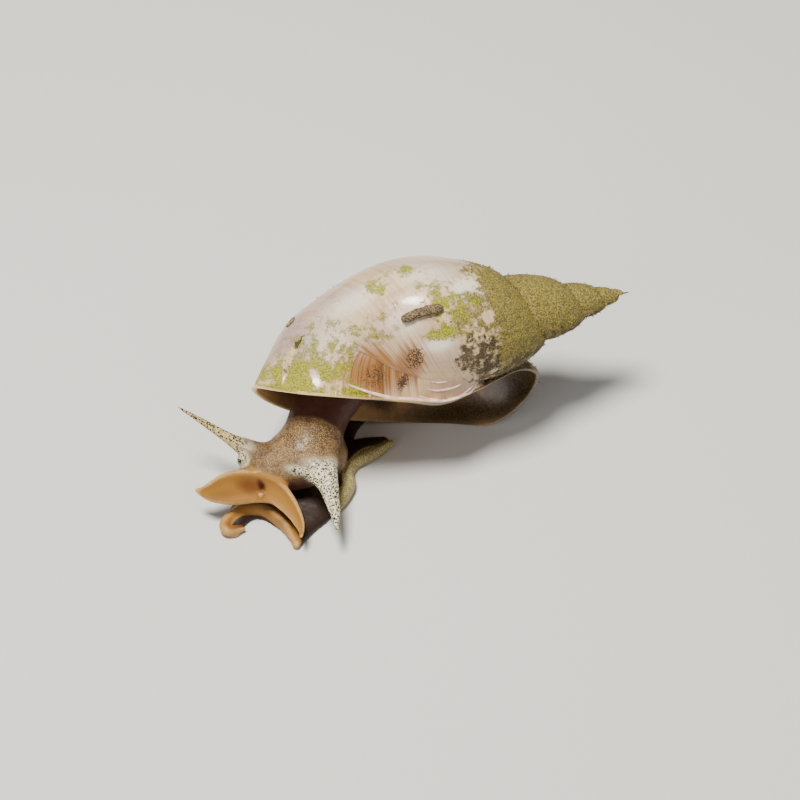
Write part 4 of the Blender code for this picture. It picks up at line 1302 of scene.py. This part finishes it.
algaeTufts = {"count": 1200, "blades": 3, "length": (0.10, 0.40), "shorter": (0.5, 1.0), "width": 0.05,
              "floor": 0.02, "seed": 51, "coverPower": 1.5, "scatter": 0.08, "spread": 0.55,
              "lean": (0.35, 0, 0.1), "bend": (0.25, 0.0, -0.2), "bakeSide": 0.003,
              "levels": ((-0.15, 1.0), (0.35, 0.8), (0.7, 0.5))}


# Algae: short tapered blades rooted in the shell's grainy cover, three to a tuft
def makeAlgae(points, quads, masks):
    form = algaeTufts
    rng = np.random.default_rng(form["seed"])
    normals = pointNormals(points, quads)
    centre = points[quads].mean(axis=1)
    area = np.linalg.norm(quadNormals(points, quads), axis=1)
    wanted = np.maximum(masks["khaki"], masks["mudAndShade"])[quads].mean(axis=1) ** form["coverPower"]
    pick = rng.choice(len(quads), form["count"], p=area * wanted / np.sum(area * wanted))
    roots = np.repeat(centre[pick], form["blades"], axis=0)
    normal = np.repeat(normals[quads[pick, 0]], form["blades"], axis=0)
    many = len(roots)
    roots = roots + rng.normal(0, form["scatter"], (many, 3))
    lean = unitRows(normal + rng.normal(0, form["spread"], (many, 3)) + np.array(form["lean"]))
    side = unitRows(np.cross(lean, rng.normal(0, 1, (many, 3))))
    third = np.cross(lean, side)
    length = rng.uniform(*form["length"], many) * rng.uniform(*form["shorter"], many)
    bend = np.array(form["bend"])
    rows = []
    for share, thick in form["levels"]:
        middle = roots + lean * (length * share)[:, None] + bend * (length * max(share, 0) ** 2)[:, None]
        for k in range(3):
            angle = 2 * math.pi * k / 3
            rows.append(middle + (side * math.cos(angle) + third * math.sin(angle)) * form["width"] * thick)
    rows.append(roots + lean * length[:, None] + bend * length[:, None])
    blade = np.stack(rows, axis=1)
    blade[..., 2] = np.maximum(blade[..., 2], form["floor"])
    local = []
    for level in (0, 3):
        for k in range(3):
            n = (k + 1) % 3
            local += [(level + k, level + n, level + 3 + n), (level + k, level + 3 + n, level + 3 + k)]
    local += [(6 + k, 6 + (k + 1) % 3, 9) for k in range(3)] + [(0, 2, 1)]
    faces = (np.arange(many)[:, None, None] * len(rows) + np.array(local)[None]).reshape(-1, 3)
    algae = addPiece("algaeTufts", blade.reshape(-1, 3), [faces],
                     makeCrustMaterial("algae", (0.40, 0.34, 0.09), (0.12, 0.10, 0.03), 3000.0))

    # Bake map: each tuft a small patch at its root's place on the shell's own unwrap
    around = shellForm["around"]
    mapOf = np.stack([(pick // around) / (len(quads) / around), (pick % around) / around], axis=1)
    patch = [(u, v) for v in (0.0, 0.4, 0.8) for u in (0.0, 0.5, 1.0)] + [(0.5, 1.0)]
    patch = np.array(patch) * form["bakeSide"]
    spread = (np.repeat(mapOf, form["blades"], axis=0)[:, None, :] + patch[None]).reshape(-1, 2)
    fillMap(algae.data, "OFBake", np.clip(spread, 0, 1))
    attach(algae, "root")


studio = {"floorSide": 1.2, "floorColour": (0.72, 0.71, 0.69),
          "lights": [("key", (-0.07, -0.02, 0.42), 0.12, 3.4, (1.0, 0.97, 0.90)),
                     ("fill", (-0.30, -0.30, 0.22), 0.35, 0.50, (0.96, 0.97, 1.0)),
                     ("side", (0.35, -0.10, 0.25), 0.30, 0.25, (1.0, 0.98, 0.95))],
          "world": 0.15}


def makeStudio():
    side = studio["floorSide"] / 2 / mm
    material, _, shader = newMaterial("floor", Roughness=0.9)
    shader.inputs["Base Color"].default_value = (*studio["floorColour"], 1.0)
    corners = np.array([(-side, -side, 0), (side, -side, 0), (side, side, 0), (-side, side, 0)])
    floor = addPiece("floor", corners, [np.array([[0, 1, 2, 3]])], material)
    aim = Vector(view["target"])
    for name, place, size, power, colour in studio["lights"]:
        lamp = bpy.data.lights.new(name, "AREA")
        lamp.shape = "DISK"
        lamp.size = size
        lamp.energy = power
        lamp.color = colour
        holder = bpy.data.objects.new(name, lamp)
        holder.location = place
        holder.rotation_euler = (aim - Vector(place)).to_track_quat("-Z", "Y").to_euler()
        bpy.context.scene.collection.objects.link(holder)
    world = bpy.data.worlds.new("studio")
    bpy.context.scene.world = world
    world.use_nodes = True
    background = world.node_tree.nodes["Background"].inputs
    background["Color"].default_value = (1.0, 0.98, 0.95, 1.0)
    background["Strength"].default_value = studio["world"]


def makeCamera():
    data = bpy.data.cameras.new("camera")
    data.lens = view["lens"]
    data.sensor_width = view["sensor"]
    data.clip_start = 0.01
    camera = bpy.data.objects.new("camera", data)
    camera.location = Vector(view["target"]) + Vector(eyeWay) * view["distance"]
    camera.rotation_euler = (math.pi / 2 - elevation, 0, 0)
    bpy.context.scene.collection.objects.link(camera)
    bpy.context.scene.camera = camera


makeCamera()
makeStudio()
print("studio ready")
shellPoints, shellQuads, shellMasks = makeShell()
print("shell ready", len(shellQuads))
skinFaces = makeSkin()
print("skin ready", len(skinFaces))
makeEyes()
shellTree = BVHTree.FromPolygons(shellPoints.tolist(), outerQuads(shellQuads).tolist())
makeCallus(shellTree)
makeSiltRod(shellTree)
makeAlgae(shellPoints, shellQuads, shellMasks)
print("shell cover ready")
